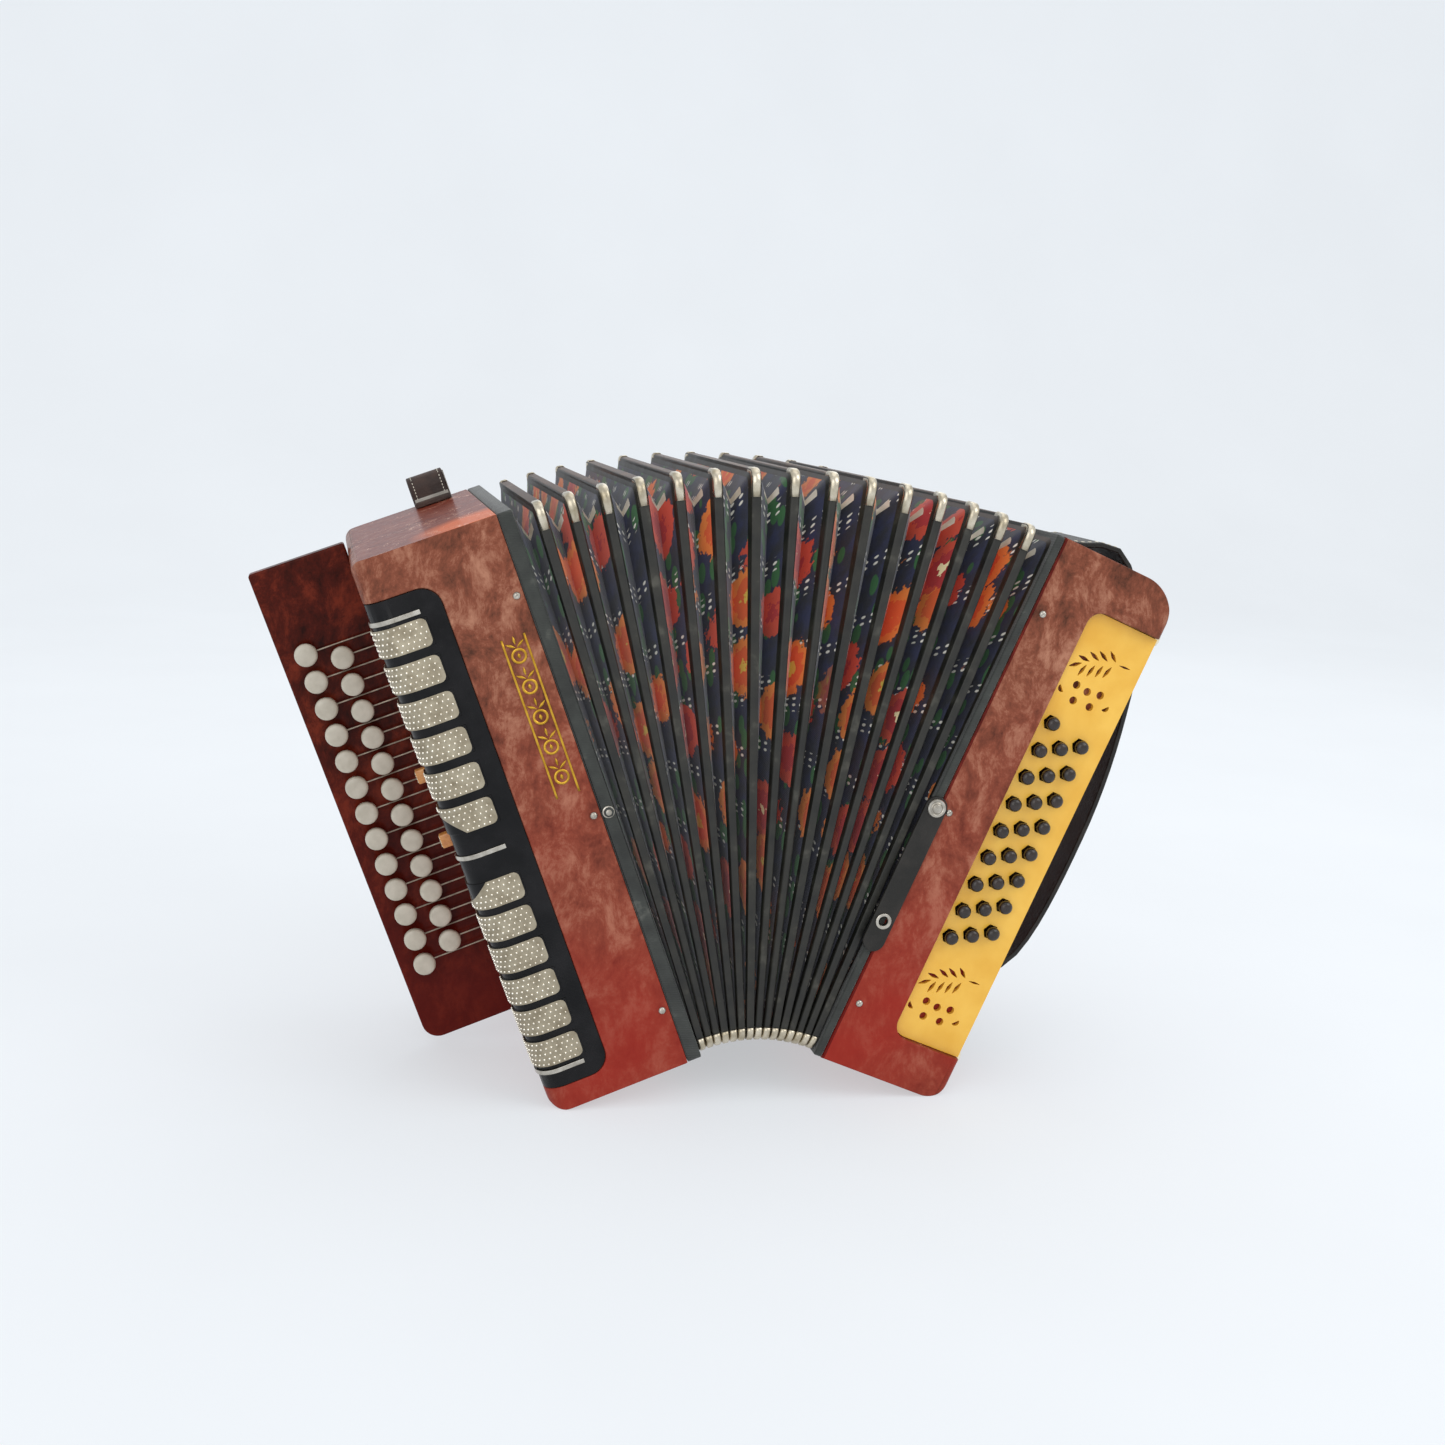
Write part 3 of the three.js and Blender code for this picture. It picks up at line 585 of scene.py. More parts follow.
# a bright edge runs round the mouth of the bass casing
redEdge = {"back": 0.02, "wide": 1.3, "proud": 0.12, "radius": 1.2, "thick": 0.5}
bm = block((body["bassMouth"] + redEdge["back"], -body["half"] - redEdge["proud"],
            body["casingLow"] - redEdge["proud"]),
           (body["bassMouth"] + redEdge["wide"], body["half"] + redEdge["proud"],
            body["casingHigh"] + redEdge["proud"]))
bmesh.ops.delete(bm, geom=[face for face in bm.faces if abs(face.normal.x) > 0.9], context="FACES")
corners = [edge for edge in bm.edges if abs(edge.verts[0].co.x - edge.verts[1].co.x) > 0.5]
bmesh.ops.bevel(bm, geom=corners, offset=redEdge["radius"], segments=3, profile=0.5, affect="EDGES",
                material=-1)
walled(finishPiece(bm, "bass_red_edge", "bass_side", bassAt, ["redEdge"]),
       redEdge["thick"], -1)
print("casings done")


# bellows: frames, corner caps and printed cloth

foldLook = {"swell": 0.04, "bevel": 1.75, "segments": 4}
middle = body["foldPitch"] / 2
for i, at in enumerate(foldAt, 1):
    node = f"fold_frame_{i:02d}"
    bm = cadShape(node, at)
    for vert in bm.verts:
        grown = 1 + foldLook["swell"] * vert.co.z / body["foldHeight"]
        vert.co.x = middle + (vert.co.x - middle) * grown
    band = finishPiece(bm, f"fold_band_{i:02d}", f"fold_{i:02d}", at, ["tape"], (node,),
                       smooth=60, normals=False)
    rounded(band, foldLook["bevel"], foldLook["segments"], 30, True)

capLook = {"inset": 3.6, "radius": 6.0, "proud": 0.32, "lip": 0.9, "topDown": 8.5, "topBack": 6.0,
           "bottomUp": 2.2, "bottomBack": 3.0, "topWide": 4.6, "bottomWide": 3.8, "sheet": 0.3}


# folded sheet metal that goes down one face, round the corner and back along the next
def cornerCap(bm, wide, straight, back):
    half, lip, proud = wide / 2, capLook["lip"], capLook["proud"]
    radius = capLook["radius"]
    outline = [(-half, capLook["inset"]), (-half, lip), (-half + lip * 0.35, lip * 0.25),
               (-half + lip, -proud), (half - lip, -proud), (half - lip * 0.35, lip * 0.25),
               (half, lip), (half, capLook["inset"])]
    points = [bm.verts.new((x, y, -radius - straight)) for x, y in outline]
    edges = [bm.edges.new(pair) for pair in zip(points, points[1:])]
    raised = bmesh.ops.extrude_edge_only(bm, edges=edges)["geom"]
    bmesh.ops.translate(bm, vec=(0, 0, straight), verts=vertsIn(raised))
    swept = bmesh.ops.spin(bm, geom=vertsIn(raised) + edgesIn(raised), cent=(0, radius, -radius),
                           axis=(1, 0, 0), angle=-math.pi / 2, steps=6)["geom_last"]
    last = bmesh.ops.extrude_edge_only(bm, edges=edgesIn(swept))["geom"]
    bmesh.ops.translate(bm, vec=(0, back, 0), verts=vertsIn(last))


for i, at in enumerate(foldAt, 1):
    bm = bmesh.new()
    for side in (1, -1):
        for top in (True, False):
            one = bmesh.new()
            if top:
                cornerCap(one, capLook["topWide"], capLook["topDown"] + chance.uniform(-0.6, 0.6),
                          capLook["topBack"])
            else:
                cornerCap(one, capLook["bottomWide"], capLook["bottomUp"], capLook["bottomBack"])
            flip = Matrix.Diagonal((1, side, 1 if top else -1, 1))
            corner = Matrix.Translation((middle, -side * body["foldHalf"],
                                         body["foldHeight"] if top else 0))
            bmesh.ops.transform(one, matrix=corner @ flip, verts=one.verts)
            bmesh.ops.recalc_face_normals(one, faces=one.faces)
            absorb(bm, one)
    caps = finishPiece(bm, f"fold_caps_{i:02d}", f"fold_{i:02d}", at, ["cap"], smooth=50,
                       normals=False)
    walled(caps, capLook["sheet"], 1)

clothLook = {"edgeInset": 1.6, "valley": 15.5, "corner": 5.0, "cornerSpan": 9.0, "stations": 12,
             "tapeStations": 1, "tipStations": 3, "letIn": 0.1}


# the rounded outline of the bellows at some depth, each point as y, z and whether it is on a corner
def sleeveOutline(inset):
    half, high = body["foldHalf"] - inset, body["foldHeight"] - inset
    radius = max(clothLook["corner"] - inset * 0.15, 2.0)
    span = clothLook["cornerSpan"]
    corners = [(-half, inset, 180), (half, inset, 270), (half, high, 0), (-half, high, 90)]
    points = []
    for k, (y, z, turn) in enumerate(corners):
        cy = y + radius if y < 0 else y - radius
        cz = z + radius if z < body["foldHeight"] / 2 else z - radius
        for step in range(5):
            angle = math.radians(turn + 22.5 * step)
            points.append((cy + radius * math.cos(angle), cz + radius * math.sin(angle), True))
        nextY, nextZ, _ = corners[(k + 1) % 4]
        along = Vector((nextY - y, nextZ - z)).normalized()
        long = (Vector((nextY, nextZ)) - Vector((y, z))).length - 2 * radius
        begin = Vector(points[-1][:2])
        parts = 10 if k % 2 else 7
        marks = [span * 0.5, span] + [span + (long - 2 * span) * n / parts for n in range(1, parts)]
        marks += [long - span, long - span * 0.5]
        for mark in marks:
            spot = begin + along * mark
            points.append((spot.x, spot.y, False))
    return points


# one valley of cloth between two bodies, from an unrolled grid that keeps its flat size as its UV map
def sleeve(number, leftAt, leftX, rightAt, rightX):
    columns = len(sleeveOutline(0))
    stations = clothLook["stations"]
    bm = bmesh.new()
    bmesh.ops.create_grid(bm, x_segments=columns, y_segments=stations, size=1, calc_uvs=True)
    uv = bm.loops.layers.uv.verify()
    grid = {}
    for vert in bm.verts:
        grid[vert] = (round((vert.co.x + 1) / 2 * columns), round((vert.co.y + 1) / 2 * stations))
    outlines, across = [], []
    for station in range(stations + 1):
        t = station / stations
        depth = clothLook["edgeInset"] + clothLook["valley"] * (1 - abs(2 * t - 1)) ** 0.92
        outlines.append(sleeveOutline(depth))
        across.append(depth if t <= 0.5 else 2 * (clothLook["edgeInset"] + clothLook["valley"]) - depth)
    shift = chance.uniform(0, 0.4)
    for vert, (column, station) in grid.items():
        y, z, _ = outlines[station][column % columns]
        t = station / stations
        left, right = leftAt @ Vector((leftX(z), y, z)), rightAt @ Vector((rightX(z), y, z))
        vert.co = left.lerp(right, t)
    runs = [0]
    outer = outlines[0]
    for k in range(columns):
        a, b = outer[k], outer[(k + 1) % columns]
        runs.append(runs[-1] + math.dist(a[:2], b[:2]))
    for face in bm.faces:
        spots = [grid[vert] for vert in face.verts]
        column = min(spot[0] for spot in spots)
        station = min(spot[1] for spot in spots)
        for loop in face.loops:
            at = grid[loop.vert]
            loop[uv].uv = (runs[at[0]] * mm + shift, across[at[1]] * mm + number * 0.047)
        isCorner = outer[column % columns][2] and outer[(column + 1) % columns][2]
        nearEdge = min(station, stations - 1 - station) < clothLook["tapeStations"]
        inValley = min(station, stations - 1 - station) >= clothLook["tipStations"]
        face.material_index = 1 if nearEdge else 2 if isCorner and inValley else 0
    bmesh.ops.remove_doubles(bm, verts=bm.verts, dist=1e-6)
    made = finishPiece(bm, f"bellows_valley_{number:02d}", None, Matrix.Identity(4),
                       ["print", "tape", "gusset"],
                       ("bellows_cloth",) if number == 8 else (), smooth=70, weld=0)
    top = body["foldHeight"]
    tuple(leftAt @ Vector((leftX(top), 0, top)))
    tuple(rightAt @ Vector((rightX(top), 0, top)))
    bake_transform(made)


# the faces of a fold at some height, with the cloth let in a little
def foldHalfThick(z):
    return (body["foldBottom"] + (body["foldTop"] - body["foldBottom"]) * z / body["foldHeight"]) / 2


def foldLeft(z):
    return middle - foldHalfThick(z) + clothLook["letIn"]


def foldRight(z):
    return middle + foldHalfThick(z) - clothLook["letIn"]


sides = [("treble_side", trebleAt)] + [(f"fold_{i:02d}", at) for i, at in enumerate(foldAt, 1)]
sides.append(("bass_side", bassAt))
for number, ((first, leftAt), (second, rightAt)) in enumerate(zip(sides, sides[1:]), 1):
    leftX = (lambda z: -body["frameFace"] - clothLook["letIn"]) if number == 1 else foldRight
    rightX = (lambda z: body["frameFace"] + clothLook["letIn"]) if number == len(sides) - 1 else foldLeft
    sleeve(number, leftAt, leftX, rightAt, rightX)
print("bellows done")


# treble keyboard

keyboard = {"pitch": 16.2, "topLevel": 269.4, "outerOut": 41.2, "innerOut": 22.8, "face": -1.5,
            "rodY": 5.0, "rodRadius": 0.5, "axleX": -76.98, "tail": 9, "hub": 2.4, "post": 1.6,
            "tilt": 0.02, "felt": 8.95}
capProfile = [(0, -0.2), (3.6, -0.12), (5.2, 0.06), (6.05, 0.4), (6.42, 1.0), (6.5, 1.9), (6.5, 3.5),
              (6.2, 4.05), (5.4, 4.2), (0, 4.2)]
rows = [("outer", 13, keyboard["outerOut"], 0), ("inner", 12, keyboard["innerOut"], 0.5)]
for row, count, out, offset in rows:
    for i in range(count):
        buttonX = body["trebleOuter"] - out
        level = keyboard["topLevel"] - keyboard["pitch"] * (i + offset)
        lean = chance.uniform(-keyboard["tilt"], keyboard["tilt"])
        nod = chance.uniform(-keyboard["tilt"], keyboard["tilt"])
        bm = bmesh.new()
        turned(bm, capProfile, (buttonX, keyboard["face"], level), (lean, 1, nod), 28)
        bar(bm, (buttonX, keyboard["face"] + 3.6, level), (buttonX, keyboard["rodY"], level),
            keyboard["post"], 10, 1)
        bar(bm, (buttonX - 0.6, keyboard["rodY"], level),
            (keyboard["axleX"] + keyboard["tail"], keyboard["rodY"], level), keyboard["rodRadius"], 10, 1)
        bar(bm, (keyboard["axleX"], keyboard["rodY"], level - 2),
            (keyboard["axleX"], keyboard["rodY"], level + 2), keyboard["hub"], 14, 1)
        finishPiece(bm, f"{row}_button_{i + 1:02d}", f"{row}_key_{i + 1:02d}", trebleAt, ["key", "rod"],
                    (f"{row}_key_{i + 1:02d}",), weld=0)

# felt washers where the buttons meet the plate
bm = bmesh.new()
for row, count, out, offset in rows:
    for i in range(count):
        spot = (body["trebleOuter"] - out, keyboard["felt"],
                keyboard["topLevel"] - keyboard["pitch"] * (i + offset))
        turned(bm, [(0, -0.2), (3.5, -0.2), (3.7, -0.1), (3.7, 0.15), (0, 0.15)], spot, (0, 1, 0), 16)
finishPiece(bm, "button_felts", "treble_side", trebleAt, ["thread"], weld=0)

tab = {"levels": [192, 153], "forward": -42, "wide": 6, "high": 8, "out": 6.5,
       "lines": [-2.4, -0.8, 0.8, 2.4]}
outer = body["trebleOuter"]
for i, level in enumerate(tab["levels"], 1):
    bm = bmesh.new()
    softBox(bm, (outer - tab["out"], tab["forward"] - tab["wide"] / 2, level - tab["high"] / 2),
            (outer + 8, tab["forward"] + tab["wide"] / 2, level + tab["high"] / 2), 0.9, 0, 3)
    softBox(bm, (outer + 5.3, tab["forward"] - 6, level - 8),
            (outer + 8, tab["forward"] + 6, level + 8), 0.4)
    for line in tab["lines"]:
        softBox(bm, (outer - tab["out"] - 0.25, tab["forward"] - 2.6, level + line - 0.28),
                (outer - tab["out"] + 0.3, tab["forward"] + 2.6, level + line + 0.28), 0.12, 1, 1)
    finishPiece(bm, f"register_key_{i}", f"register_tab_{i}", trebleAt, ["register", "ivory"],
                (f"register_tab_{i}",), weld=0)
print("keyboard done")


# grille

grille = {"edge": 12, "inner": -60.3, "wrap": 9.5, "high": 15.2, "upper": (174.4, 20.05),
          "lower": (34.3, 19.2), "round": 3.4, "seat": 0.62, "thick": 0.5, "slantAt": 7.5}
gridOfDots = {"pitch": 3.05, "size": 0.68, "columns": 18, "lines": 5, "start": 1.7, "low": 1.5,
              "margin": 1.4}
refined("treble_grille", "grille_plate", "treble_side", trebleAt, ["grille", "silver"],
        0.35, 2)


# a strip that follows the casing's front, round its upright edge and along its side
def wrappedStrip(bm, low, high, inner, wrap, lift, steps=10):
    cornerX = body["trebleOuter"] + grille["edge"]
    cornerY = -body["half"] + grille["edge"]
    ends = [bm.verts.new((inner, -body["half"] - lift, z)) for z in (low, high)]
    edge = bm.edges.new(ends)
    straight = bmesh.ops.extrude_edge_only(bm, edges=[edge])["geom"]
    bmesh.ops.translate(bm, vec=(cornerX - inner, 0, 0), verts=vertsIn(straight))
    swept = bmesh.ops.spin(bm, geom=vertsIn(straight) + edgesIn(straight),
                           cent=(cornerX, cornerY, 0), axis=(0, 0, 1), angle=-math.pi / 2,
                           steps=steps)["geom_last"]
    last = bmesh.ops.extrude_edge_only(bm, edges=edgesIn(swept))["geom"]
    bmesh.ops.translate(bm, vec=(0, wrap, 0), verts=vertsIn(last))


# x and y after some run along such a strip
def onStrip(run, inner, lift):
    cornerX = body["trebleOuter"] + grille["edge"]
    cornerY = -body["half"] + grille["edge"]
    straight = inner - cornerX
    radius = grille["edge"] + lift
    quarter = radius * math.pi / 2
    if run <= straight:
        return inner - run, -body["half"] - lift
    if run <= straight + quarter:
        angle = (run - straight) / radius
        return cornerX - radius * math.sin(angle), cornerY - radius * math.cos(angle)
    return cornerX - radius, cornerY + run - straight - quarter


levels = [low + pitch * i for low, pitch in (grille["upper"], grille["lower"]) for i in range(6)]
slanted = {0: 1, 11: -1}  # the lowest and highest of the twelve lose a corner
half = grille["high"] / 2
sideEnd = -body["half"] + grille["edge"] + grille["wrap"] - 1.2
bm = bmesh.new()
dots = bmesh.new()
dome = bead(gridOfDots["size"], gridOfDots["size"], 7, 4)
for number, level in enumerate(levels):
    one = bmesh.new()
    wrappedStrip(one, level - half, level + half, grille["inner"], grille["wrap"], grille["seat"])
    side = slanted.get(number, 0)
    normal = Vector((-1, 0, -side)).normalized()
    cutAt = Vector((body["trebleOuter"] + grille["slantAt"], 0, level - side * half * 0.75))
    if side:
        bmesh.ops.bisect_plane(one, geom=one.verts[:] + one.edges[:] + one.faces[:], plane_co=cutAt,
                               plane_no=normal, clear_outer=True)
    tips = [vert for vert in one.verts if abs(vert.co.x - grille["inner"]) < 0.01]
    bmesh.ops.bevel(one, geom=tips, offset=grille["round"], segments=4, profile=0.5, affect="VERTICES",
                    material=-1)
    absorb(bm, one)
    for column in range(gridOfDots["columns"]):
        for line in range(gridOfDots["lines"]):
            run = (gridOfDots["start"] + column * gridOfDots["pitch"]
                   + (line % 2) * gridOfDots["pitch"] / 2)
            z = level - half + gridOfDots["low"] + line * gridOfDots["pitch"]
            x, y = onStrip(run, grille["inner"], grille["seat"] + grille["thick"])
            atTip = column == 0 and line in (0, gridOfDots["lines"] - 1)
            if y > sideEnd or atTip:
                continue
            if side and (Vector((x, y, z)) - cutAt).dot(normal) > -gridOfDots["margin"]:
                continue
            stamp(dots, dome, Matrix.Translation((x, y, z)))
inserts = finishPiece(bm, "grille_inserts", "treble_side", trebleAt, ["silver"], smooth=40)
rounded(walled(inserts, grille["thick"], 1), 0.18, 2, 50, True)
finishPiece(dots, "grille_dots", "treble_side", trebleAt, ["dots"], weld=0)

# three bright strips across the plate
strip = {"levels": [285.5, 153.0, 23.0], "halfHigh": 1.3, "inner": -61.5, "wrap": 3.0,
         "seat": 0.15, "thick": 0.9}
bm = bmesh.new()
for level in strip["levels"]:
    wrappedStrip(bm, level - strip["halfHigh"], level + strip["halfHigh"], strip["inner"],
                 strip["wrap"], strip["seat"])
strips = finishPiece(bm, "grille_strips", "treble_side", trebleAt, ["nickel"], smooth=40)
rounded(walled(strips, strip["thick"], 1), 0.3, 2, 50, True)

# gilt ornament on the casing: rings and darts between two lines
ornament = {"x": -21.5, "low": 169, "high": 255, "thick": 0.3, "motifs": 5, "lineAt": 6.2,
            "lineHalf": 0.6}
bm = bmesh.new()
front = -body["half"] - ornament["thick"]
step = (ornament["high"] - ornament["low"]) / ornament["motifs"]


def giltRing(x, z, radius, wide):
    made = bmesh.new()
    inner = [made.verts.new((radius - wide / 2, 0, 0)), made.verts.new((radius + wide / 2, 0, 0))]
    made.edges.new(inner)
    bmesh.ops.spin(made, geom=inner + made.edges[:], cent=(0, 0, 0), axis=(0, 1, 0), angle=math.tau,
                   steps=22, use_merge=True)
    absorb(bm, made, 0, Matrix.Translation((x, front, z)))


def giltLeaf(x, z, long, wide, turn):
    made = bmesh.ops.create_circle(bm, cap_ends=True, segments=16, radius=1)["verts"]
    for vert in made:
        vert.co.y *= 1 - 0.6 * abs(vert.co.x)
    bmesh.ops.scale(bm, vec=(long / 2, wide / 2, 1), verts=made)
    spin = Matrix.Rotation(math.radians(turn), 4, "Y") @ Matrix.Rotation(math.pi / 2, 4, "X")
    bmesh.ops.transform(bm, matrix=Matrix.Translation((x, front, z)) @ spin, verts=made)


for i in range(ornament["motifs"]):
    z = ornament["low"] + step * (i + 0.5)
    giltRing(ornament["x"], z, 3.6, 1.3)
    giltLeaf(ornament["x"], z, 3.2, 2.0, 90)
    for turn in (35, 145):
        giltLeaf(ornament["x"] + (1 if turn < 90 else -1) * 2.7, z + step * 0.36, 5.6, 1.6, -turn)
    giltLeaf(ornament["x"], z + step * 0.5, 4.6, 1.5, 90)
for x in (ornament["x"] - ornament["lineAt"], ornament["x"] + ornament["lineAt"]):
    line = bmesh.ops.create_grid(bm, x_segments=1, y_segments=24, size=1)["verts"]
    bmesh.ops.scale(bm, vec=(ornament["lineHalf"], (ornament["high"] - ornament["low"]) / 2 + 2, 1),
                    verts=line)
    lift = Matrix.Translation((x, front, (ornament["low"] + ornament["high"]) / 2))
    bmesh.ops.transform(bm, matrix=lift @ Matrix.Rotation(math.pi / 2, 4, "X"), verts=line)
for face in bm.faces:
    if face.normal.y > 0:
        face.normal_flip()
gilt = finishPiece(bm, "gilt_ornament", "treble_side", trebleAt, ["gold"], weld=0,
                   normals=False)
walled(gilt, ornament["thick"] * 1.4, -1)
print("grille done")


# screws and studs

screwProfile = [(0, -1.15), (0.9, -1.05), (1.6, -0.72), (2.05, -0.2), (2.15, 0.15), (0, 0.15)]
studProfile = [(0, -2.1), (1.4, -2.0), (2.3, -1.5), (2.7, -0.7), (3.3, -0.5), (3.5, 0), (0, 0)]


# round heads, each with its slot cut at some angle
def screws(name, side, at, spots, back=False):
    bm = bmesh.new()
    cutter = bmesh.new()
    face = 1 if back else -1
    for x, z in spots:
        turned(bm, screwProfile, (x, face * (body["half"] + 0.05), z), (0, -face, 0), 20)
        angle = Matrix.Rotation(chance.uniform(0, math.pi), 4, "Y")
        absorb(cutter, block((-0.28, -0.5, -2.6), (0.28, 0.5, 2.6)), 0,
               Matrix.Translation((x, face * (body["half"] + 1.25), z)) @ angle)
    made = finishPiece(bm, name, side, at, ["nickel"], weld=0)
    cutAway(made, finishPiece(cutter, name + "_slots", None, at, ["nickel"], weld=0))


trebleSpots = [(-12.4, 276.5), (-12.4, 151.3), (-12.4, 33.2)]
bassSpots = [(11.8, 276.2), (11.8, 154.5), (11.8, 35.5)]
screws("treble_screws", "treble_side", trebleAt, trebleSpots)
screws("bass_screws", "bass_side", bassAt, bassSpots)
screws("treble_back_screws", "treble_side", trebleAt, trebleSpots, True)
screws("bass_back_screws", "bass_side", bassAt, bassSpots, True)
matingStud = {"x": -4.33, "sunk": 0.1, "level": 150.5}
bm = bmesh.new()
turned(bm, studProfile, (matingStud["x"], -body["half"] + matingStud["sunk"], matingStud["level"]),
       (0, 1, 0), 24)
finishPiece(bm, "mating_stud", "treble_side", trebleAt, ["nickel"], weld=0)


# bass panel, buttons and feet

panel = {"front": -90, "back": -87, "stem": (69.4, 268.6, 76.8, 269.0), "stemWide": 1.3,
         "leafWide": 2.3, "hole": 2.3, "drop": 199, "past": 3}
# each leaf as its two tips, on the panel
leaves = [(41.4, 256.6, 48.0, 261.2), (44.2, 264.3, 51.9, 263.7), (49.7, 268.8, 56.9, 266.2),
          (54.8, 271.4, 61.9, 267.9), (60.9, 273.9, 66.7, 269.4), (48.8, 253.7, 51.1, 261.4),
          (54.0, 255.3, 56.0, 263.0), (58.9, 256.9, 60.6, 264.6), (63.2, 258.3, 65.7, 266.1)]
holes = [(50.9, 248.8), (58.6, 247.7), (66.8, 248.9), (53.0, 240.1), (63.8, 240.5)]
halves = [(43.5, 243.8, 1), (72.9, 243.6, -1)]
plate = refined("bass_panel", "bass_grille", "bass_side", bassAt, ["panel"], 0)
cutter = bmesh.new()


def leafCutter(x0, z0, x1, z1, wide):
    long = math.hypot(x1 - x0, z1 - z0)
    made = bmesh.ops.create_cone(cutter, cap_ends=True, segments=20, radius1=1, radius2=1,
                                 depth=8)["verts"]
    for vert in made:
        vert.co.y *= 1 - 0.55 * abs(vert.co.x)
    bmesh.ops.scale(cutter, vec=(long / 2, wide / 2, 1), verts=made)
    turn = Matrix.Rotation(math.pi / 2, 4, "X")
    slope = Matrix.Rotation(-math.atan2(z1 - z0, x1 - x0), 4, "Y")
    centre = ((x0 + x1) / 2, (panel["front"] + panel["back"]) / 2, (z0 + z1) / 2)
    bmesh.ops.transform(cutter, matrix=Matrix.Translation(centre) @ slope @ turn, verts=made)


def holeCutter(bm, x, z):
    bar(bm, (x, panel["front"] - panel["past"], z), (x, panel["back"] + panel["past"], z),
        panel["hole"], 20)


for drop in (0, panel["drop"]):
    for x0, z0, x1, z1 in leaves:
        leafCutter(x0, z0 - drop, x1, z1 - drop, panel["leafWide"])
    x0, z0, x1, z1 = panel["stem"]
    leafCutter(x0, z0 - drop, x1, z1 - drop, panel["stemWide"])
    for x, z in holes:
        holeCutter(cutter, x, z - drop)
    for x, z, side in halves:
        one = bmesh.new()
        holeCutter(one, x, z - drop)
        cut = bmesh.ops.bisect_plane(one, geom=one.verts[:] + one.edges[:] + one.faces[:],
                                     plane_co=(x, 0, z - drop), plane_no=(side, 0, 1),
                                     clear_outer=True)["geom_cut"]
        bmesh.ops.holes_fill(one, edges=edgesIn(cut))
        absorb(cutter, one)
cutAway(plate, finishPiece(cutter, "panel_cuts", None, bassAt, ["panel"], weld=0))
plate.data.shade_smooth()
plate.data.set_sharp_from_angle(angle=math.radians(35))
rounded(plate, 0.25, 2, 40, True)

bassButtons = {"rows": [9, 8, 8], "pitch": 16.75, "step": 11.05, "first": 37.7, "top": 223.5,
               "rise": 6.5, "bar": -81.7}
buttonProfile = [(0, 0), (1.5, 0.08), (2.6, 0.42), (3.4, 1.05), (3.85, 1.9), (4.0, 2.9), (3.9, 3.8),
                 (3.3, 4.6), (2.9, 5.4), (2.9, 15), (0, 15)]
for row, count in enumerate(bassButtons["rows"]):
    bm = bmesh.new()
    x = body["bassOuter"] - bassButtons["first"] + bassButtons["step"] * row
    top = bassButtons["top"] - (0 if row == 0 else bassButtons["pitch"] * (1 - row / 3))
    for i in range(count):
        at = (x, panel["front"] - bassButtons["rise"], top - bassButtons["pitch"] * i)
        turned(bm, buttonProfile, at, (0, 1, 0), 20)
    softBox(bm, (x - 3, bassButtons["bar"], top - bassButtons["pitch"] * (count - 1) - 3),
            (x + 3, bassButtons["bar"] + 3, top + 3), 0.4, 1)
    finishPiece(bm, f"bass_buttons_{row + 1}", f"bass_row_{row + 1}", bassAt, ["bassButton", "spruce"],
                (f"bass_button_row_{row + 1}",), weld=0)

# a dark sheet inside the panel: painted shade of the casing's interior, seen through its cuts
interiorShade = {"left": 39.5, "right": 78.5, "front": -86.6, "back": -86.2, "spans": [(30, 82), (234, 287)]}
bm = bmesh.new()
for low, high in interiorShade["spans"]:
    softBox(bm, (interiorShade["left"], interiorShade["front"], low), (interiorShade["right"], interiorShade["back"], high), 0.15)
# this sheet is painted shade, given the dark brown leather finish
finishPiece(bm, "panel_interior_shade", "bass_side", bassAt, ["brownLeather"], weld=0)

footProfile = [(0, 4.6), (2.6, 4.4), (4.4, 3.5), (5.4, 2.0), (5.7, 0.4), (5.7, -0.4), (0, -0.4)]
feet = {"out": 81, "levels": [291, 24], "sunk": 0.1}
bm = bmesh.new()
for y in (-feet["out"], feet["out"]):
    for z in feet["levels"]:
        turned(bm, footProfile, (body["bassOuter"] - feet["sunk"], y, z), (1, 0, 0), 28)
finishPiece(bm, "bass_feet", "bass_side", bassAt, ["ivory"], weld=0)
print("bass side done")


# straps

def treeOf(node, at):
    shape = cadShape(node, at)
    tree = BVHTree.FromBMesh(shape)
    shape.free()
    return tree


refined("hand_strap", "hand_strap_leather", "bass_side", bassAt, ["leather"], 0.9, 3, 50, 60)
closing = {"x": 2.6, "stud": 154.5, "eyelet": 84.5, "face": -97.5, "leatherFace": -97.6}
# the leather ends at its face, and metal stands for the stud above it
tongue = cadShape("closing_strap", bassAt)
cut = bmesh.ops.bisect_plane(tongue, geom=tongue.verts[:] + tongue.edges[:] + tongue.faces[:],
                             plane_co=(0, closing["leatherFace"], 0), plane_no=(0, -1, 0),
                             clear_outer=True)["geom_cut"]
bmesh.ops.holes_fill(tongue, edges=edgesIn(cut))
rounded(finishPiece(tongue, "closing_strap_leather", "closing_strap", bassAt, ["leather"],
                    ("closing_strap",)), 0.4, 3, 50)
refined("shoulder_strap_loop", "shoulder_loop_leather", "treble_side", trebleAt, ["brownLeather"],
        0.6, 3, 50, 50)

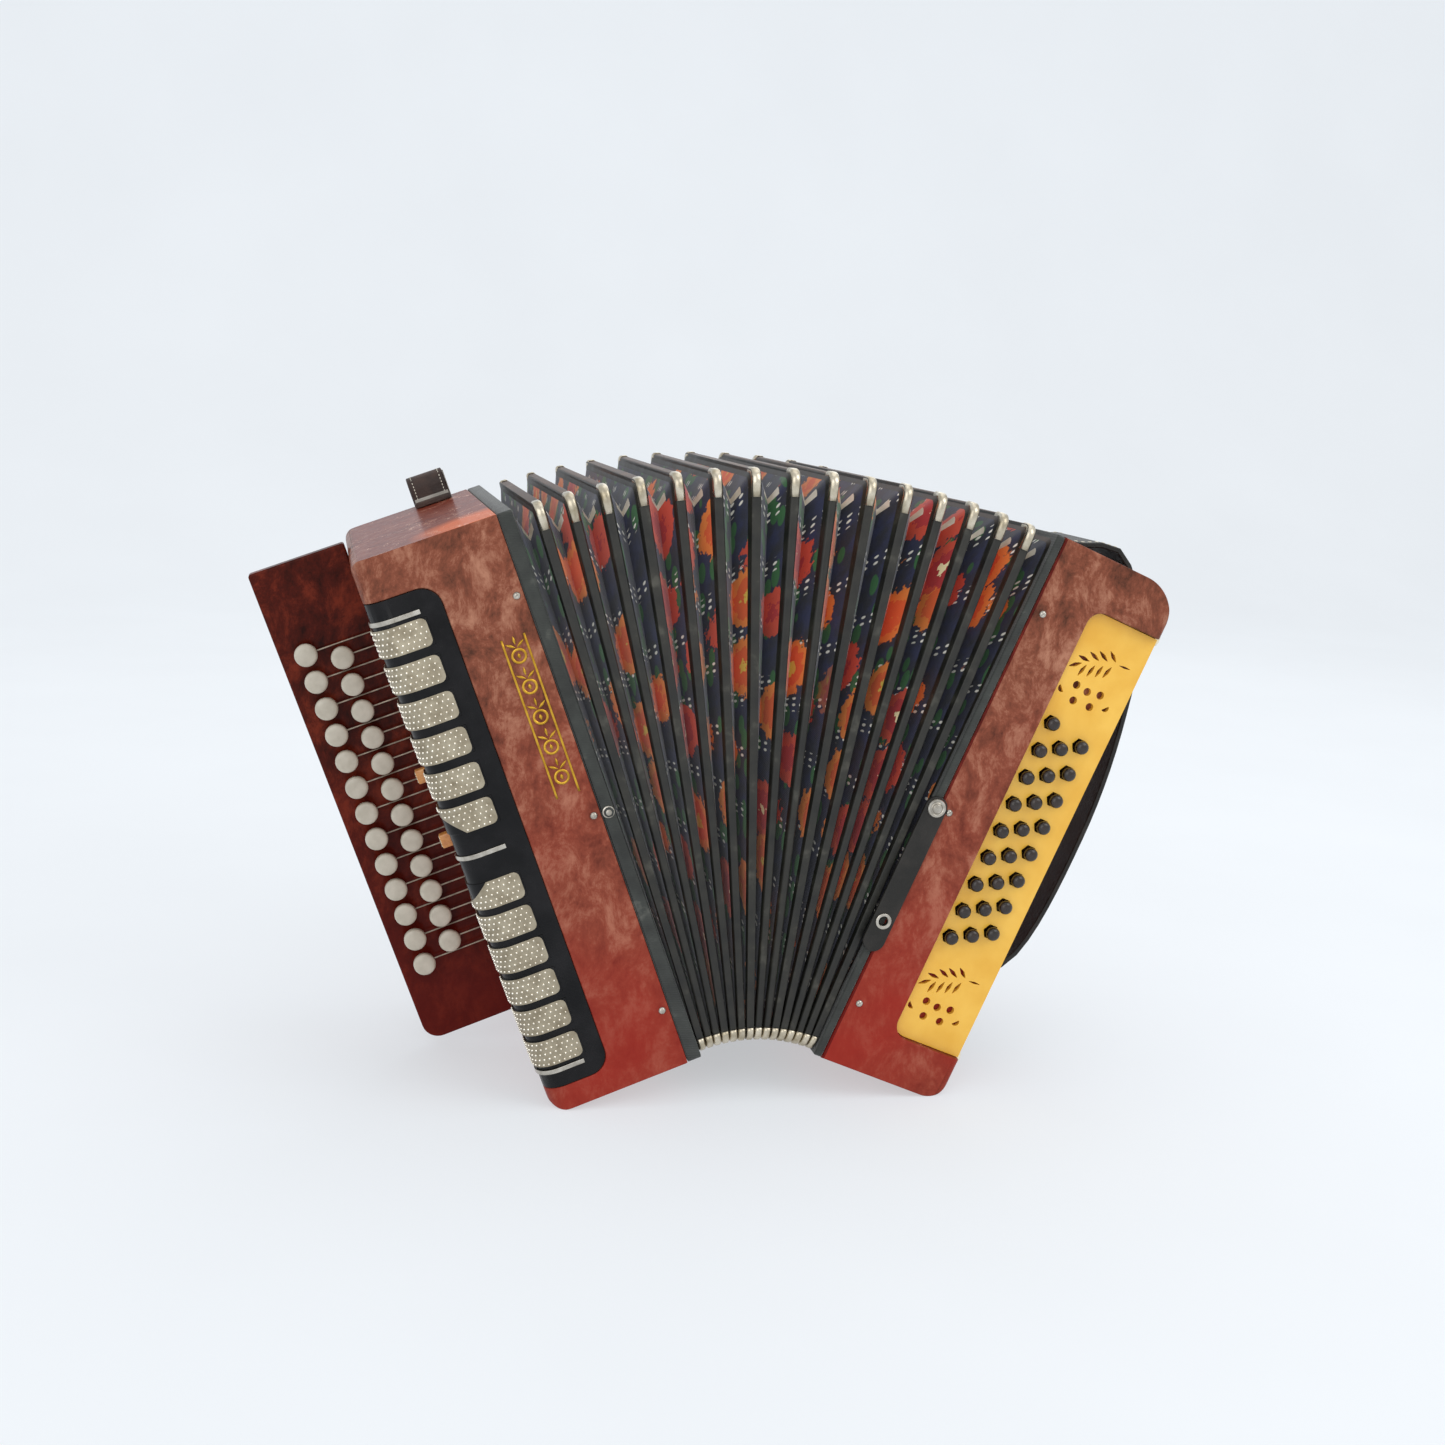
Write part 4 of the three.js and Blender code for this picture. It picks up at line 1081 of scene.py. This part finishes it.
handStrap = {"seams": [-33.4, 29.4], "rivets": [-20, -2, 16], "topRivet": (25.6, 323.6),
             "lowRivet": (88.3, 22.5)}
rivetProfile = [(0, 1.0), (1.6, 0.9), (2.6, 0.5), (2.9, 0), (0, 0)]
handTree = treeOf("hand_strap", bassAt)
bm = bmesh.new()
for y in handStrap["seams"]:
    stitchRow(bm, handTree, [(170, y, z) for z in range(22, 316, 4)], (-1, 0, 0), 2.7, 0.45)
    stitchRow(bm, handTree, [(x, y, 380) for x in range(24, 78, 4)], (0, 0, -1), 2.7, 0.45)
finishPiece(bm, "hand_strap_stitches", "bass_side", bassAt, ["thread"], weld=0)
bm = bmesh.new()
for y in handStrap["rivets"]:
    for (x, z), out in ((handStrap["topRivet"], (0, 0, 1)), (handStrap["lowRivet"], (1, 0, 0))):
        turned(bm, rivetProfile, (x, y, z), out, 20)
finishPiece(bm, "hand_strap_rivets", "bass_side", bassAt, ["nickel"], weld=0)

loop = {"seams": [-38.9, -22.1], "rivets": [-36.5, -24.5], "rivetOut": 3.3, "rivetLevel": 299}
loopRivet = [(0, 1.3), (1.7, 1.1), (2.6, 0.5), (2.9, 0), (0, 0)]
loopTree = treeOf("shoulder_strap_loop", trebleAt)
bm = bmesh.new()
for x in loop["seams"]:
    stitchRow(bm, loopTree, [(x, 20, 323.5 + 1.9 * n) for n in range(8)], (0, 1, 0), 1.3, 0.3)
    stitchRow(bm, loopTree, [(x, 82 + 2.4 * n, 380) for n in range(6)], (0, 0, -1), 1.6, 0.3)
    stitchRow(bm, loopTree, [(x, 140, z) for z in range(294, 328, 3)], (0, -1, 0), 2.0, 0.35)
finishPiece(bm, "loop_stitches", "treble_side", trebleAt, ["thread"], weld=0)
bm = bmesh.new()
softBox(bm, (-40.9, 76.6, 320.1), (-20.1, 77.6, 324.6), 0.3)
softBox(bm, (-19.6, 77.2, 321.2), (-19.1, 80.4, 336.5), 0.2)
finishPiece(bm, "loop_worn_edge", "treble_side", trebleAt, ["wornLeather"], weld=0)
bm = bmesh.new()
for x in loop["rivets"]:
    turned(bm, loopRivet, (x, body["half"] + loop["rivetOut"], loop["rivetLevel"]), (0, 1, 0), 20)
finishPiece(bm, "loop_rivets", "treble_side", trebleAt, ["nickel"], weld=0)

# press stud cap, its ring and the eyelet of the closing strap
pressStud = [(0, -2.4), (1.6, -2.3), (2.6, -1.9), (2.9, -1.3), (3.5, -1.0), (4.2, -1.35),
             (5.0, -1.3), (5.5, -0.7), (5.6, 0.1), (0, 0.1)]
eyelet = [(2.7, 0.2), (2.7, -0.5), (3.1, -0.95), (3.8, -1.05), (4.5, -0.7), (4.75, -0.1),
          (4.75, 0.2), (2.7, 0.2)]
bm = bmesh.new()
for profile, level in ((pressStud, closing["stud"]), (eyelet, closing["eyelet"])):
    turned(bm, profile, (closing["x"], closing["face"], level), (0, 1, 0), 32)
finishPiece(bm, "closing_strap_metal", "closing_strap", bassAt, ["nickel"], weld=0)

# lower strap bracket on the back of the treble casing
bracket = {"x": -48, "z": 20, "wide": 26, "high": 12, "plate": 1.2, "rivet": 9, "leg": 5.5,
           "barOut": 5.2, "barHalf": 6.4, "wire": 1.1}
bracketRivet = [(0, 1.2), (1.1, 1.0), (1.7, 0.4), (1.8, 0), (0, 0)]
bm = bmesh.new()
y = body["half"]
softBox(bm, (bracket["x"] - bracket["wide"] / 2, y - 0.2, bracket["z"] - bracket["high"] / 2),
        (bracket["x"] + bracket["wide"] / 2, y + bracket["plate"],
         bracket["z"] + bracket["high"] / 2), 0.5, 0, 3)
for x in (bracket["x"] - bracket["rivet"], bracket["x"] + bracket["rivet"]):
    turned(bm, bracketRivet, (x, y + bracket["plate"], bracket["z"]), (0, 1, 0), 16)
for x in (bracket["x"] - bracket["leg"], bracket["x"] + bracket["leg"]):
    bar(bm, (x, y, bracket["z"]), (x, y + bracket["barOut"], bracket["z"]), bracket["wire"], 12)
bar(bm, (bracket["x"] - bracket["barHalf"], y + bracket["barOut"], bracket["z"]),
    (bracket["x"] + bracket["barHalf"], y + bracket["barOut"], bracket["z"]), bracket["wire"], 12)
finishPiece(bm, "lower_strap_bracket", "treble_side", trebleAt, ["nickel"], weld=0)
print("straps done")


# floor, light and camera

studio = {"paper": "#eef2f6", "wide": 4.2, "front": -2.6, "back": 1.9, "bend": 0.9, "high": 2.6,
          "glow": 0.56, "glowTint": "#eef1f4", "sky": "#f1f3f5", "skyPower": 0.9}
bm = bmesh.new()
points = [bm.verts.new((-studio["wide"], y, 0)) for y in (studio["front"], studio["back"])]
bm.edges.new(points)
bend = bmesh.ops.spin(bm, geom=[points[1]], cent=(-studio["wide"], studio["back"], studio["bend"]),
                      axis=(1, 0, 0), angle=math.pi / 2, steps=16)["geom_last"]
rise = bmesh.ops.extrude_vert_indiv(bm, verts=vertsIn(bend)[:1])["verts"]
bmesh.ops.translate(bm, vec=(0, 0, studio["high"]), verts=rise)
pulled = bmesh.ops.extrude_edge_only(bm, edges=list(bm.edges))["geom"]
bmesh.ops.translate(bm, vec=(2 * studio["wide"], 0, 0), verts=vertsIn(pulled))
bmesh.ops.recalc_face_normals(bm, faces=bm.faces)
floorMesh = bpy.data.meshes.new("floor")
bm.to_mesh(floorMesh)
bm.free()
floorMesh.shade_smooth()
floor = bpy.data.objects.new("floor", floorMesh)
bpy.context.scene.collection.objects.link(floor)
paper = newMaterial("paper", studio["paper"], 0.9, Specular_IOR_Level=0.1,
                    Emission_Strength=studio["glow"], Emission_Color=tint(studio["glowTint"]))
cloud = noise(paper, where(paper), 3, 3)
colourFrom(paper, ramp(paper, cloud, "Fac", [(0.3, "#a3a7ab"), (0.8, "#a8acb0")]), "Color")
floorMesh.materials.append(paper)

world = bpy.data.worlds.new("studio")
world.use_nodes = True
sky = world.node_tree.nodes["Background"]
sky.inputs["Color"].default_value = tint(studio["sky"])
sky.inputs["Strength"].default_value = studio["skyPower"]
bpy.context.scene.world = world

lamps = {
    "key": {"at": (1.3, -1.2, 1.5), "size": 1.3, "power": 11},
    "fill": {"at": (-0.9, -1.9, 0.9), "size": 1.6, "power": 10},
    "top": {"at": (0.3, 0.2, 1.9), "size": 1.3, "power": 4},
    "rear": {"at": (0.6, 1.4, 1.3), "size": 1.2, "power": 4},
}
for name, lamp in lamps.items():
    light = bpy.data.lights.new(name, "AREA")
    light.size = lamp["size"]
    light.energy = lamp["power"]
    holder = bpy.data.objects.new(name, light)
    holder.location = lamp["at"]
    aim = Vector((0.0, 0.0, 0.15)) - Vector(lamp["at"])  # at the middle of the instrument
    holder.rotation_euler = aim.to_track_quat("-Z", "Y").to_euler()
    bpy.context.scene.collection.objects.link(holder)

shot = {"at": (-0.22292, -1.02879, 0.39858), "yaw": 12.93, "down": 10.66, "roll": 2.84, "lens": 45.3}
lens = bpy.data.cameras.new("camera")
lens.lens = shot["lens"]
lens.sensor_width = 36
camera = bpy.data.objects.new("camera", lens)
aimed = (Matrix.Rotation(math.radians(-shot["yaw"]), 4, "Z")
         @ Matrix.Rotation(math.radians(90 - shot["down"]), 4, "X")
         @ Matrix.Rotation(math.radians(shot["roll"]), 4, "Z"))
camera.matrix_world = Matrix.Translation(shot["at"]) @ aimed
bpy.context.scene.collection.objects.link(camera)
bpy.context.scene.camera = camera
bpy.context.scene.view_settings.view_transform = "Standard"
print("stage done")
